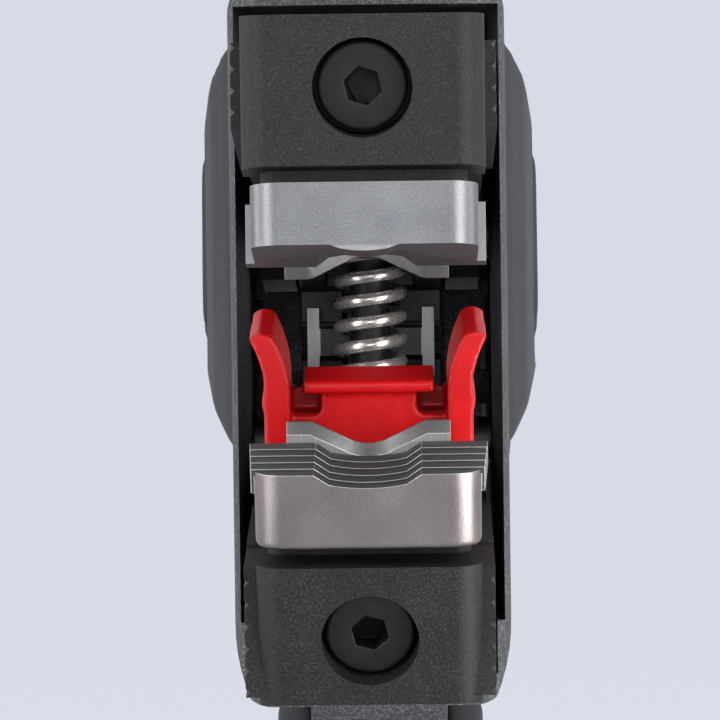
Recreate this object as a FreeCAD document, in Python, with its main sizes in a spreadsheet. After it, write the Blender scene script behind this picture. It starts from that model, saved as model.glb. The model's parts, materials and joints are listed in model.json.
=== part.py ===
"""Automatic wire stripper: two gripping jaws, pulled blades, a length stop and a squeeze handle.

Millimetres. +X is the tool's width, +Y runs from the mouth to the handles, +Z is up and Z = 0 is the
lowest point of the open handle. A "station" is a distance behind the nose, a "rise" a height above the
mouth's centre line, and a "reach" a distance from that line into a closed jaw.
"""

import FreeCAD
import Part
import Sketcher

import math
import os

Vector = FreeCAD.Vector
UPPER, LOWER = 1, -1
LEFT, RIGHT = -1, 1
PANEL_RIBS = {UPPER: 4, LOWER: 6}

# Driving dimensions: alias, number, meaning. Lengths in millimetres, angles in degrees.
DRIVING_SIZES = [
    ("total_length", 195.0, "nose to tail of the fixed handle"),
    ("head_width", 23.2, "outside width of the two housing halves"),
    ("housing_wall", 1.2, "side wall of a housing half"),
    ("housing_lip", 0.45, "side wall of a housing half at its front edge"),
    ("housing_flare", 14.0, "length over which the side wall thins to its front edge"),
    ("housing_rim", 2.5, "roof, floor and tail wall of a housing half"),
    ("housing_front", 34.0, "station of the housing's front edge"),
    ("housing_rise", 31.0, "roof above the mouth line"),
    ("housing_drop", 30.0, "floor below the mouth line"),
    ("tail_depth", 22.0, "height of the fixed handle at its tail"),
    ("belly_height", 7.0, "height of the rounding under the housing's sides"),
    ("belly_depth", 1.6, "how far the rounding under the housing's sides draws in"),
    ("grip_pad", 2.9, "thickness of a soft grip pad"),
    ("grip_top", 26.0, "top of a soft grip pad at its front"),
    ("grip_drop", 8.9, "bottom of a soft grip pad below the mouth line"),
    ("grip_shoulder", 7.6, "height of the slope at a soft grip pad's front corners"),
    ("grip_run", 10.0, "length of the slope at a soft grip pad's front"),
    ("grip_taper", 4.6, "height of the slope along a soft grip pad's edges"),
    ("running_gap", 0.05, "radial clearance of a pin that something turns on"),
    ("side_gap", 0.3, "clearance between pieces that slide past each other"),
    ("upper_jaw_width", 18.8, "width of the upper jaw"),
    ("lower_jaw_width", 17.7, "width of the lower jaw"),
    ("jaw_panel", 1.0, "how far a jaw's side panel stands out"),
    ("panel_rib", 0.35, "depth of the ribs on a jaw's side panel"),
    ("upper_panel_reach", 11.1, "inner end of the upper jaw's side panels"),
    ("lower_panel_reach", 9.3, "inner end of the lower jaw's side panels"),
    ("jaw_reach", 60.0, "nose to jaw pivot"),
    ("jaw_pivot_rise", 9.0, "jaw pivot from the mouth line"),
    ("jaw_pin_radius", 2.0, "jaw pivot pin"),
    ("jaw_brow", 38.0, "highest point of a jaw ahead of its pivot"),
    ("jaw_crown", 3.0, "highest point of a jaw beyond its front face"),
    ("jaw_relief", 4.2, "front of the open corners beside a jaw's collar"),
    ("open_angle", 7.2, "how far each jaw stands open"),
    ("nose_slant", 14.0, "lean of the nose"),
    ("upper_top_reach", 18.5, "outer end of the upper jaw's front face"),
    ("lower_top_reach", 20.5, "outer end of the lower jaw's front face"),
    ("upper_face_reach", 7.2, "inner end of the upper jaw's front face"),
    ("lower_face_reach", 9.0, "inner end of the lower jaw's front face"),
    ("clamp_width", 19.0, "width of a clamp at its back"),
    ("clamp_front_width", 18.2, "width of the lower clamp's gripping block at its front"),
    ("clamp_boss_width", 17.6, "width of a clamp's front boss"),
    ("clamp_boss_depth", 1.75, "depth of a clamp's front boss"),
    ("clamp_flange", 3.0, "depth of the upper clamp's wide back"),
    ("clamp_depth", 15.0, "depth of a clamp's gripping face"),
    ("clamp_reach", 1.3, "gripping face from the mouth line when closed"),
    ("upper_clamp_height", 4.7, "height of the upper clamp's front"),
    ("lower_clamp_height", 6.2, "height of the lower clamp's front"),
    ("clamp_lip", 1.9, "height of the lower clamp's wide gripping block"),
    ("clamp_corner", 2.3, "rounding of a clamp's and a jaw's front edges"),
    ("clamp_rim", 0.7, "rounding of the lower clamp's bottom rim"),
    ("groove_width", 8.4, "width of the gripping groove"),
    ("groove_depth", 1.1, "depth of the gripping groove"),
    ("bump_width", 5.4, "width of the upper clamp's front bump"),
    ("bump_depth", 0.5, "depth of the upper clamp's front bump"),
    ("tooth_pitch", 3.0, "spacing of the gripping teeth"),
    ("tooth_valley", 1.25, "width of a valley between teeth"),
    ("tooth_depth", 0.6, "depth of a valley between teeth"),
    ("tang_width", 13.2, "width of a clamp's tang"),
    ("tang_depth", 5.0, "depth of a clamp's tang"),
    ("collar_wall", 1.4, "wall of the jaw's collar around a tang"),
    ("collar_corner", 1.3, "rounding of a collar's front corners"),
    ("nose_wall", 5.5, "jaw material in front of the tang"),
    ("upper_screw_reach", 13.0, "upper clamp screw from the mouth line"),
    ("lower_screw_reach", 15.1, "lower clamp screw from the mouth line"),
    ("screw_head_radius", 3.5, "clamp screw head"),
    ("screw_seat_radius", 3.85, "counterbore for the clamp screw"),
    ("screw_head_height", 2.4, "clamp screw head height"),
    ("screw_sink", 1.4, "clamp screw head below the jaw's face"),
    ("screw_radius", 2.0, "clamp screw shank"),
    ("hex_across", 2.6, "clamp screw's hexagon socket across flats"),
    ("hex_turn", 17.0, "how far the clamp screws' sockets stand turned"),
    ("blade_width", 13.1, "width of a blade"),
    ("blade_thickness", 1.2, "thickness of a blade"),
    ("blade_bevel", 0.9, "ground bevel of a blade"),
    ("upper_blade_edge", 0.45, "upper cutting edge from the mouth line when closed"),
    ("lower_blade_edge", -0.2, "lower cutting edge from the mouth line when closed"),
    ("notch_width", 9.0, "width of a blade's notch"),
    ("notch_depth", 1.8, "depth of a blade's notch"),
    ("notch_floor", 3.4, "width of the rounded floor of a blade's notch"),
    ("carrier_width", 12.2, "width of a blade carrier"),
    ("carrier_reach", 3.6, "inner face of a blade carrier from the mouth line"),
    ("carrier_thickness", 2.8, "thickness of a blade carrier"),
    ("carrier_gap", 3.0, "carrier's rear end ahead of the jaw pivot"),
    ("carrier_lug", 3.0, "length of a carrier's lug"),
    ("lug_reach", 0.8, "inner end of a carrier's lug from the mouth line"),
    ("rib_width", 5.0, "width of a carrier's guide rib"),
    ("rib_height", 2.4, "height of a carrier's guide rib"),
    ("rib_length", 16.0, "length of a carrier's guide rib"),
    ("blade_stroke", 12.0, "pull of the blades over a full squeeze"),
    ("bar_stroke", 13.0, "pull of the draw bar over a full squeeze"),
    ("stop_offset", 7.7, "front of the stop's plate behind the blades"),
    ("stop_bar_width", 10.6, "width of the stop's cross bar"),
    ("stop_post_width", 7.8, "width of the stop's post"),
    ("stop_bar_height", 1.55, "height of the stop's cross bar"),
    ("stop_bar_slope", 0.6, "how much lower the stop's cross bar is at its front"),
    ("stop_overhang", 0.8, "stop's cross bar ahead of its post"),
    ("stop_wall", 1.0, "thickness of the wall behind the stop's post"),
    ("stop_wall_height", 1.4, "height of the wall behind the stop's post"),
    ("stop_floor", 0.45, "floor of the stop's pockets from the mouth line"),
    ("stop_height", 3.0, "stop's cross bar past the mouth line when closed"),
    ("stop_span", 19.3, "width over the stop's ears"),
    ("stop_ear_height", 6.65, "stop's ears past the mouth line when closed"),
    ("stop_ear_lift", 1.1, "how much taller a stop's ear is at its rear"),
    ("stop_ear_wall", 2.1, "thickness of a stop's ear"),
    ("stop_plate", 4.0, "thickness of the stop's plate"),
    ("stop_ear_depth", 7.2, "depth of a stop's ear"),
    ("spring_offset", 14.0, "jaw spring ahead of the jaw pivot"),
    ("spring_radius", 3.15, "outside radius of the jaw spring"),
    ("spring_wire", 1.1, "wire of the jaw spring"),
    ("spring_pitch", 1.85, "spacing of the jaw spring's coils"),
    ("spring_seat", 3.0, "depth of a jaw spring's seat"),
    ("bar_thickness", 4.0, "thickness of the draw bar"),
    ("bar_height", 6.0, "height of the draw bar's head and stem"),
    ("bar_head", 2.6, "length of the draw bar's head"),
    ("bar_head_width", 11.0, "width of the draw bar's head"),
    ("bar_post", 1.1, "width of a post of the draw bar's head"),
    ("bar_web", 2.4, "height of the web between the draw bar's posts"),
    ("lever_offset", 26.0, "handle pivot behind the jaw pivot"),
    ("lever_rise", 21.0, "handle pivot above the mouth line"),
    ("handle_drop", 107.0, "handle pivot above the open handle's tip"),
    ("crotch_offset", 40.0, "crotch between the handles behind the handle pivot"),
    ("lever_boss", 6.5, "rounded top of the lever"),
    ("lever_width", 13.0, "width of the lever"),
    ("squeeze_angle", 26.0, "travel of the handle"),
    ("lever_pin_radius", 3.0, "handle pivot pin"),
    ("drive_pin_radius", 2.0, "pin that pulls the draw bar"),
    ("handle_width", 20.0, "width of the squeeze handle's soft grip"),
    ("return_wire", 1.0, "wire of the handle's return spring"),
    ("return_coils", 3.0, "coils of the handle's return spring"),
    ("dial_offset", 22.0, "adjusting dial behind the handle pivot"),
    ("dial_sink", 7.5, "adjusting dial's axle below the roof"),
    ("dial_radius", 8.5, "adjusting dial"),
    ("dial_width", 6.4, "width of the adjusting dial"),
    ("dial_axle_radius", 1.5, "axle of the adjusting dial"),
    ("tether_radius", 2.5, "hole for a tether in the tail"),
    ("cover_screw_radius", 1.5, "screws that join the housing halves"),
]


class Size:
    """A length or angle that knows its number and the sheet expression that gives it."""

    def __init__(self, value, text):
        self.value = value
        self.text = text

    def __add__(self, other):
        other = as_size(other)
        return Size(self.value + other.value, f"({self.text} + {other.text})")

    def __sub__(self, other):
        other = as_size(other)
        return Size(self.value - other.value, f"({self.text} - {other.text})")

    def __mul__(self, other):
        other = as_size(other)
        return Size(self.value * other.value, f"({self.text} * {other.text})")

    def __truediv__(self, other):
        other = as_size(other)
        return Size(self.value / other.value, f"({self.text} / {other.text})")

    def __rsub__(self, other):
        return as_size(other) - self

    def __neg__(self):
        return self * -1

    __radd__ = __add__
    __rmul__ = __mul__


def as_size(number):
    """A Size as it is, or a plain number as a Size."""
    return number if isinstance(number, Size) else Size(float(number), f"{float(number)!r}")


def sine(angle):
    return Size(math.sin(math.radians(angle.value)), f"sin({angle.text})")


def cosine(angle):
    return Size(math.cos(math.radians(angle.value)), f"cos({angle.text})")


def tangent(angle):
    return Size(math.tan(math.radians(angle.value)), f"tan({angle.text})")


class SizeTable:
    """The driving dimensions, each read from its cell of the sheet."""

    def __init__(self, document):
        sheet = document.addObject("Spreadsheet::Sheet", "Sizes")
        for row, (alias, number, meaning) in enumerate(DRIVING_SIZES, start=1):
            sheet.set(f"A{row}", alias)
            sheet.set(f"B{row}", str(number))
            sheet.setAlias(f"B{row}", alias)
            sheet.set(f"C{row}", meaning)
        document.recompute()
        for alias, _, _ in DRIVING_SIZES:
            setattr(self, alias, Size(float(sheet.get(alias)), f"Sizes.{alias}"))


doc = FreeCAD.newDocument("WireStripper")
sizes = SizeTable(doc)
sub_parts = []

# Reference places, worked out from the driving dimensions.
front_wedge = sizes.upper_top_reach * tangent(sizes.nose_slant)
nose_station = (
    sizes.jaw_reach
    - (sizes.jaw_reach + front_wedge) * cosine(sizes.open_angle)
    + (sizes.upper_top_reach - sizes.jaw_pivot_rise) * sine(sizes.open_angle)
)
middle_station = (sizes.total_length + nose_station) / 2
lever_station = sizes.jaw_reach + sizes.lever_offset
spring_station = sizes.jaw_reach - sizes.spring_offset
carrier_end = sizes.jaw_reach - sizes.carrier_gap
dial_station = lever_station + sizes.dial_offset
dial_rise = sizes.housing_rise - sizes.dial_sink
mouth_height = sizes.handle_drop - sizes.lever_rise


def along(station):
    """The Y of a station on the whole tool."""
    return station - middle_station


def above(rise):
    """The Z of a rise on the whole tool."""
    return mouth_height + rise


def jaw_along(station):
    """The Y of a station in a jaw's own frame, whose origin is the jaw pivot."""
    return station - sizes.jaw_reach


def jaw_above(side, reach):
    """The Z of a reach in a jaw's own frame."""
    return (reach - sizes.jaw_pivot_rise) * side


def nose_at(side, reach):
    """The station of the slanted nose at a reach."""
    return reach * tangent(sizes.nose_slant) * -side


def jaw_placement(side):
    """The placement of a jaw's own frame on the whole tool, with the jaw open."""
    base = f"vector(0; {along(sizes.jaw_reach).text}; {above(sizes.jaw_pivot_rise * side).text})"
    return f"placement({base}; rotation(vector(1; 0; 0); {(sizes.open_angle * -side).text}))"


class Piece:
    """A body that is padded, cut and rounded in its own frame."""

    PLANES = {"YZ": "YZ_Plane", "XZ": "XZ_Plane", "XY": "XY_Plane"}

    def __init__(self, name):
        self.name = name
        self.body = doc.addObject("PartDesign::Body", name + "_body")

    def sketch(self, plane, start):
        """An empty sketch on a plane that stands at a distance along its positive axis."""
        role = self.PLANES[plane]
        support = [item for item in self.body.Origin.OriginFeatures if item.Role == role][0]
        sketch = self.body.newObject("Sketcher::SketchObject", self.name + "_sketch")
        sketch.AttachmentSupport = (support, [""])
        sketch.MapMode = "FlatFace"
        start = as_size(start) * (-1 if plane == "XZ" else 1)
        sketch.setExpression("AttachmentOffset.Base.z", start.text)
        return sketch

    def outline(self, plane, points, start, arcs=()):
        """A closed outline. An arc is (number of its first corner, radius, side it bulges to)."""
        sketch = self.sketch(plane, start)
        draw_outline(sketch, points, {first: (radius, bulge) for first, radius, bulge in arcs})
        return sketch

    def disc(self, plane, centre, radius, start):
        """A circle."""
        sketch = self.sketch(plane, start)
        radius = as_size(radius)
        centre = [as_size(number) for number in centre]
        place = Vector(centre[0].value, centre[1].value, 0)
        circle = sketch.addGeometry(Part.Circle(place, Vector(0, 0, 1), radius.value), False)
        bind(sketch, Sketcher.Constraint("Radius", circle, radius.value), radius)
        pin_point(sketch, circle, 3, centre)
        return sketch

    def add(self, sketch, length):
        """Pad a sketch along the positive axis."""
        pad = self.body.newObject("PartDesign::Pad", self.name + "_pad")
        pad.Profile = sketch
        pad.setExpression("Length", as_size(length).text)
        pad.Reversed = sketch.AttachmentSupport[0][0].Role == "XZ_Plane"
        return pad

    def cut(self, sketch, length):
        """Pocket a sketch along the positive axis."""
        pocket = self.body.newObject("PartDesign::Pocket", self.name + "_pocket")
        pocket.Profile = sketch
        pocket.setExpression("Length", as_size(length).text)
        pocket.Reversed = sketch.AttachmentSupport[0][0].Role != "XZ_Plane"
        return pocket

    def turn_out(self, points):
        """Cut a ring of revolution: the first two corners lie on its axis."""
        sketch = self.outline("YZ", points, 0)
        first = sketch.Geometry[0]
        sketch.addGeometry(Part.LineSegment(first.StartPoint, first.EndPoint), True)
        axis = len(sketch.Geometry) - 1
        sketch.addConstraint(Sketcher.Constraint("Coincident", axis, 1, 0, 1))
        sketch.addConstraint(Sketcher.Constraint("Coincident", axis, 2, 0, 2))
        groove = self.body.newObject("PartDesign::Groove", self.name + "_groove")
        groove.Profile = sketch
        groove.ReferenceAxis = (sketch, ["Axis0"])
        groove.Angle = 360
        return groove

    def repeat(self, feature, span, times):
        """Repeat a cut along +Y."""
        pattern = self.body.newObject("PartDesign::LinearPattern", self.name + "_pattern")
        pattern.Originals = [feature]
        axis = [item for item in self.body.Origin.OriginFeatures if item.Role == "Y_Axis"][0]
        pattern.Direction = (axis, [""])
        pattern.setExpression("Length", as_size(span).text)
        pattern.Occurrences = times
        self.body.Tip = pattern
        return pattern

    def mirror(self, features):
        """Mirror pads or cuts across the tool's middle plane."""
        mirrored = self.body.newObject("PartDesign::Mirrored", self.name + "_mirror")
        mirrored.Originals = features
        plane = [item for item in self.body.Origin.OriginFeatures if item.Role == "YZ_Plane"][0]
        mirrored.MirrorPlane = (plane, [""])
        self.body.Tip = mirrored
        return mirrored

    def round_edges(self, radius, wanted):
        """Round every edge of the last shape that the test wants."""
        doc.recompute()
        names = wanted_edges(self.body.Tip.Shape, wanted)
        fillet = self.body.newObject("PartDesign::Fillet", self.name + "_fillet")
        fillet.Base = (self.body.Group[-2], names)
        fillet.setExpression("Radius", as_size(radius).text)
        return fillet

    def bevel_edges(self, size, wanted):
        """Bevel every edge of the last shape that the test wants."""
        doc.recompute()
        names = wanted_edges(self.body.Tip.Shape, wanted)
        chamfer = self.body.newObject("PartDesign::Chamfer", self.name + "_chamfer")
        chamfer.Base = (self.body.Group[-2], names)
        chamfer.setExpression("Size", as_size(size).text)
        return chamfer

    def finish(self, placement=None):
        """Place the body and hand it in as a piece."""
        if placement:
            self.body.setExpression("Placement", placement)
        hand_in(self.name, self.body)
        return self.body


def hand_in(name, thing):
    """Name an object as a piece of the tool."""
    thing.Label = name
    sub_parts.append(thing)


def bind(sketch, constraint, size):
    """Add a constraint and drive it from the sheet."""
    number = sketch.addConstraint(constraint)
    sketch.setExpression(f"Constraints[{number}]", size.text)


def pin_point(sketch, geometry, end, point):
    """Fix a point of a sketch at two driven coordinates."""
    bind(sketch, Sketcher.Constraint("DistanceX", -1, 1, geometry, end, point[0].value), point[0])
    bind(sketch, Sketcher.Constraint("DistanceY", -1, 1, geometry, end, point[1].value), point[1])


def arc_middle(start, end, radius, bulge):
    """The middle of the arc between two points that bulges along the second axis."""
    half = (end - start) * 0.5
    rise = radius - math.sqrt(max(radius * radius - half.Length * half.Length, 0.0))
    across = Vector(-half.y, half.x, 0).normalize()
    if across.y * bulge < 0:
        across = across * -1
    return start + half + across * rise


def draw_outline(sketch, points, arcs):
    """Draw a closed outline of lines and arcs and fix every corner."""
    points = [(as_size(across), as_size(up)) for across, up in points]
    places = [Vector(across.value, up.value, 0) for across, up in points]
    total = len(points)
    ends = []
    for number in range(total):
        start, end = places[number], places[(number + 1) % total]
        if number in arcs:
            radius, bulge = arcs[number]
            middle = arc_middle(start, end, as_size(radius).value, bulge)
            turns_left = (middle - start).cross(end - middle).z > 0
            first, last = (start, end) if turns_left else (end, start)
            sketch.addGeometry(Part.Arc(first, middle, last), False)
            ends.append((1, 2) if turns_left else (2, 1))
        else:
            sketch.addGeometry(Part.LineSegment(start, end), False)
            ends.append((1, 2))
    for number in range(total):
        following = (number + 1) % total
        joint = (number, ends[number][1], following, ends[following][0])
        sketch.addConstraint(Sketcher.Constraint("Coincident", *joint))
    for number in range(total):
        pin_point(sketch, number, ends[number][0], points[number])
    for number, (radius, _) in arcs.items():
        radius = as_size(radius)
        bind(sketch, Sketcher.Constraint("Radius", number, radius.value), radius)


def wanted_edges(shape, wanted):
    """The names of a shape's edges that a test wants."""
    names = [f"Edge{number}" for number, edge in enumerate(shape.Edges, start=1) if wanted(edge)]
    if not names:
        raise RuntimeError("no edge to work on")
    return names


def runs_along(edge, axis):
    """True where a straight edge runs along an axis: 0 for X, 1 for Y, 2 for Z."""
    ends = [vertex.Point for vertex in edge.Vertexes]
    if len(ends) < 2:
        return False
    spread = [abs(ends[0][number] - ends[1][number]) for number in range(3)]
    return spread[axis] > 0.05 and all(spread[number] < 1e-4 for number in range(3) if number != axis)


def corner_edges(*corners):
    """A test for the edges along X that stand at given corners of a side outline."""
    places = [(as_size(across).value, as_size(up).value) for across, up in corners]

    def wanted(edge):
        if not runs_along(edge, 0):
            return False
        point = edge.Vertexes[0].Point
        return any(abs(point.y - across) + abs(point.z - up) < 0.01 for across, up in places)

    return wanted


def rim_edges(across):
    """A test for the edges that lie wholly in the plane at an X."""
    place = as_size(across).value

    def wanted(edge):
        return all(abs(point.x - place) < 1e-4 for point in edge.discretize(5))

    return wanted


def jaw_points(side, corners):
    """Side-outline corners, given as station and reach, in a jaw's own frame."""
    return [(jaw_along(station), jaw_above(side, reach)) for station, reach in corners]


def span_up(side, low, high):
    """The lower end and the length of a stretch of reaches in a jaw's own frame."""
    start = jaw_above(side, low if side == UPPER else high)
    return start, as_size(high) - low


def box_in_jaw(piece, side, half_width, stations, reaches, cut=False):
    """Pad or cut a block that is centred on the middle plane of a jaw."""
    (front, back), (low, high) = stations, reaches
    corners = jaw_points(side, [(front, low), (back, low), (back, high), (front, high)])
    half_width = as_size(half_width)
    sketch = piece.outline("YZ", corners, -half_width)
    return piece.cut(sketch, half_width * 2) if cut else piece.add(sketch, half_width * 2)


jaw_half = {UPPER: sizes.upper_jaw_width / 2, LOWER: sizes.lower_jaw_width / 2}
face_reach = {UPPER: sizes.upper_face_reach, LOWER: sizes.lower_face_reach}
top_reach = {UPPER: sizes.upper_top_reach, LOWER: sizes.lower_top_reach}
screw_reach = {UPPER: sizes.upper_screw_reach, LOWER: sizes.lower_screw_reach}
blade_edge = {UPPER: sizes.upper_blade_edge, LOWER: sizes.lower_blade_edge}
panel_reach = {UPPER: sizes.upper_panel_reach, LOWER: sizes.lower_panel_reach}
clamp_top = {
    UPPER: sizes.clamp_reach + sizes.upper_clamp_height,
    LOWER: sizes.clamp_reach + sizes.lower_clamp_height,
}
inner_reach = sizes.carrier_reach + sizes.carrier_thickness + sizes.side_gap
shelf_reach = inner_reach + 2.9
blade_station = sizes.clamp_depth + sizes.side_gap
carrier_start = blade_station + sizes.blade_thickness
stop_station = blade_station + sizes.stop_offset
seat_reach = inner_reach + sizes.spring_seat
tang_top = {side: reach + 4.0 for side, reach in screw_reach.items()}
slot_front = carrier_start + 13.5
slot_back = spring_station + sizes.spring_radius + 1.45


def screw_axis_points(side, rings):
    """Corners at a depth and a radius on a clamp screw's axis, in a jaw's own frame."""
    root_along = jaw_along(nose_at(side, screw_reach[side]))
    root_above = jaw_above(side, screw_reach[side])
    lean, level = sine(sizes.nose_slant), cosine(sizes.nose_slant)
    return [
        (root_along + as_size(depth) * level - as_size(radius) * lean,
         root_above + as_size(depth) * lean + as_size(radius) * level)
        for depth, radius in rings
    ]


def make_jaw(name, side):
    """A black jaw: front block, spring seat, rib slot and a fork around the pivot."""
    piece = Piece(name)
    face, top = face_reach[side], top_reach[side]
    half = jaw_half[side]
    rear = sizes.jaw_reach + 6.5
    block_end = sizes.clamp_depth - 1.5
    corners = [
        (nose_at(side, face), face),
        (nose_at(side, top), top),
        (sizes.jaw_reach - sizes.jaw_brow, top + sizes.jaw_crown),
        (sizes.jaw_reach - 10, top + sizes.jaw_crown - 0.5),
        (rear, top - 3.5),
        (rear, sizes.jaw_pivot_rise / 2),
        (sizes.jaw_reach - 7, sizes.jaw_pivot_rise / 2),
        (sizes.jaw_reach - 10, shelf_reach),
        (block_end, shelf_reach),
        (block_end, face),
    ]
    if side == LOWER:
        corners[8] = (block_end, shelf_reach + 0.4)
        corners[7] = (sizes.jaw_reach - 10, shelf_reach + 0.4)
    points = jaw_points(side, corners)
    piece.add(piece.outline("YZ", points, -half), half * 2)
    piece.round_edges(4.0, corner_edges(points[4], points[5]))
    piece.round_edges(9.0, corner_edges(points[2], points[3]))
    front = [points[0], points[1]]
    piece.round_edges(sizes.clamp_corner, slanted_front_edges(front, half))
    land = sizes.carrier_width / 2 + 0.2
    fork = sizes.jaw_reach - 9
    box_in_jaw(piece, side, land, (blade_station, fork), (inner_reach, shelf_reach + 0.5))
    add_ribbed_panel(piece, side, half + sizes.jaw_panel, (5.5, sizes.housing_front - 3), top - 0.6)
    add_collar(piece, side)
    collar_half = sizes.tang_width / 2 + sizes.collar_wall
    relief = jaw_points(side, [(sizes.jaw_relief, face - 1), (block_end + 1, face - 1),
                               (block_end + 1, shelf_reach), (sizes.jaw_relief, shelf_reach)])
    for edge in (-half - 2, collar_half):
        piece.cut(piece.outline("YZ", relief, edge), half + 2 - collar_half)
    box_in_jaw(piece, side, sizes.carrier_width / 2 + 0.4, (fork, rear + 1), (-2, top + 6), cut=True)
    slot = (block_end - 1, carrier_start + sizes.rib_length + sizes.blade_stroke + 0.4 - 4)
    slot_depth = (inner_reach - 1, sizes.carrier_reach + sizes.carrier_thickness + sizes.rib_height + 0.4)
    box_in_jaw(piece, side, sizes.rib_width / 2 + sizes.side_gap, slot, slot_depth, cut=True)
    start, depth = span_up(side, inner_reach - 1, seat_reach)
    seat = piece.disc("XY", (0, jaw_along(spring_station)), sizes.spring_radius + 0.65, start)
    piece.cut(seat, depth)
    tang_reaches = (clamp_top[side] - 1, tang_top[side])
    box_in_jaw(piece, side, sizes.tang_width / 2, tang_stations(side), tang_reaches, cut=True)
    pivot = piece.disc("YZ", (0, 0), sizes.jaw_pin_radius + sizes.running_gap, -half - 1)
    piece.cut(pivot, half * 2 + 2)
    seat_depth = sizes.screw_sink + sizes.screw_head_height
    rings = [
        (-4, 0),
        (10, 0),
        (10, sizes.screw_radius),
        (seat_depth, sizes.screw_radius),
        (seat_depth, sizes.screw_seat_radius),
        (-4, sizes.screw_seat_radius),
    ]
    piece.turn_out(screw_axis_points(side, rings))
    return piece.finish(jaw_placement(side))


def tang_stations(side):
    """The front and the back of a clamp's tang."""
    front = nose_at(side, screw_reach[side]) + sizes.nose_wall
    return front, front + sizes.tang_depth


def add_collar(piece, side):
    """The collar that closes a jaw on its clamp, around the tang."""
    half = sizes.tang_width / 2 + sizes.collar_wall
    front, back = tang_stations(side)
    front = front - sizes.collar_wall
    box_in_jaw(piece, side, half, (front, back), (clamp_top[side], face_reach[side] + 1))
    piece.round_edges(sizes.collar_corner, upright_edges(half, jaw_along(front)))


def add_ribbed_panel(piece, side, edge, stations, top):
    """The side panels of a jaw: an outline whose ends have V grooves, carried along the jaw."""
    front, back = stations
    low = panel_reach[side]
    pitch = (top - low) / PANEL_RIBS[side]
    ribs = [(edge, low)]
    for number in range(PANEL_RIBS[side]):
        end = low + pitch * (number + 1)
        groove = (edge - sizes.panel_rib, end - sizes.panel_rib)
        ribs += [(edge, end - sizes.panel_rib * 2), groove, (edge, end)]
    right = [(across, jaw_above(side, reach)) for across, reach in ribs]
    left = [(-across, up) for across, up in reversed(right)]
    piece.add(piece.outline("XZ", right + left, jaw_along(front)), as_size(back) - front)


def slanted_front_edges(front, half):
    """A test for the two long edges of a nose: where its slanted face meets the sides."""
    (low_y, low_z), (high_y, high_z) = front
    ends = [Vector(0, low_y.value, low_z.value), Vector(0, high_y.value, high_z.value)]
    half = as_size(half).value

    def wanted(edge):
        if edge.BoundBox.XLength > 1e-3:
            return False
        for vertex in edge.Vertexes:
            point = vertex.Point
            if abs(abs(point.x) - half) > 1e-3:
                return False
            on_line = Vector(0, point.y, point.z).distanceToLine(ends[0], ends[1] - ends[0])
            if on_line > 1e-3:
                return False
        return len(edge.Vertexes) == 2

    return wanted


def level_edges(half, up):
    """A test for the edges along Y that stand at a half width and a height."""
    half, up = as_size(half).value, as_size(up).value

    def wanted(edge):
        point = edge.Vertexes[0].Point
        return runs_along(edge, 1) and abs(abs(point.x) - half) + abs(point.z - up) < 1e-3

    return wanted


def upright_edges(half, along_place):
    """A test for the edges along Z that stand at a half width and a place along Y."""
    half, place = as_size(half).value, as_size(along_place).value

    def wanted(edge):
        point = edge.Vertexes[0].Point
        return runs_along(edge, 2) and abs(abs(point.x) - half) + abs(point.y - place) < 1e-3

    return wanted


def grip_profile(side, low, centre, half_flat, half_floor, floor_part):
    """Half of a gripping face seen from the front: flat, slope, then a shallow arc floor."""
    middle = low + (centre - low) * floor_part
    return [
        (-half_flat, jaw_above(side, low)),
        (-half_floor, jaw_above(side, middle)),
        (half_floor, jaw_above(side, middle)),
        (half_flat, jaw_above(side, low)),
    ]


def floor_arc(half_floor, sagitta):
    """The radius of an arc from its half width and its depth."""
    return (half_floor * half_floor + sagitta * sagitta) / (sagitta * 2)


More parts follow.
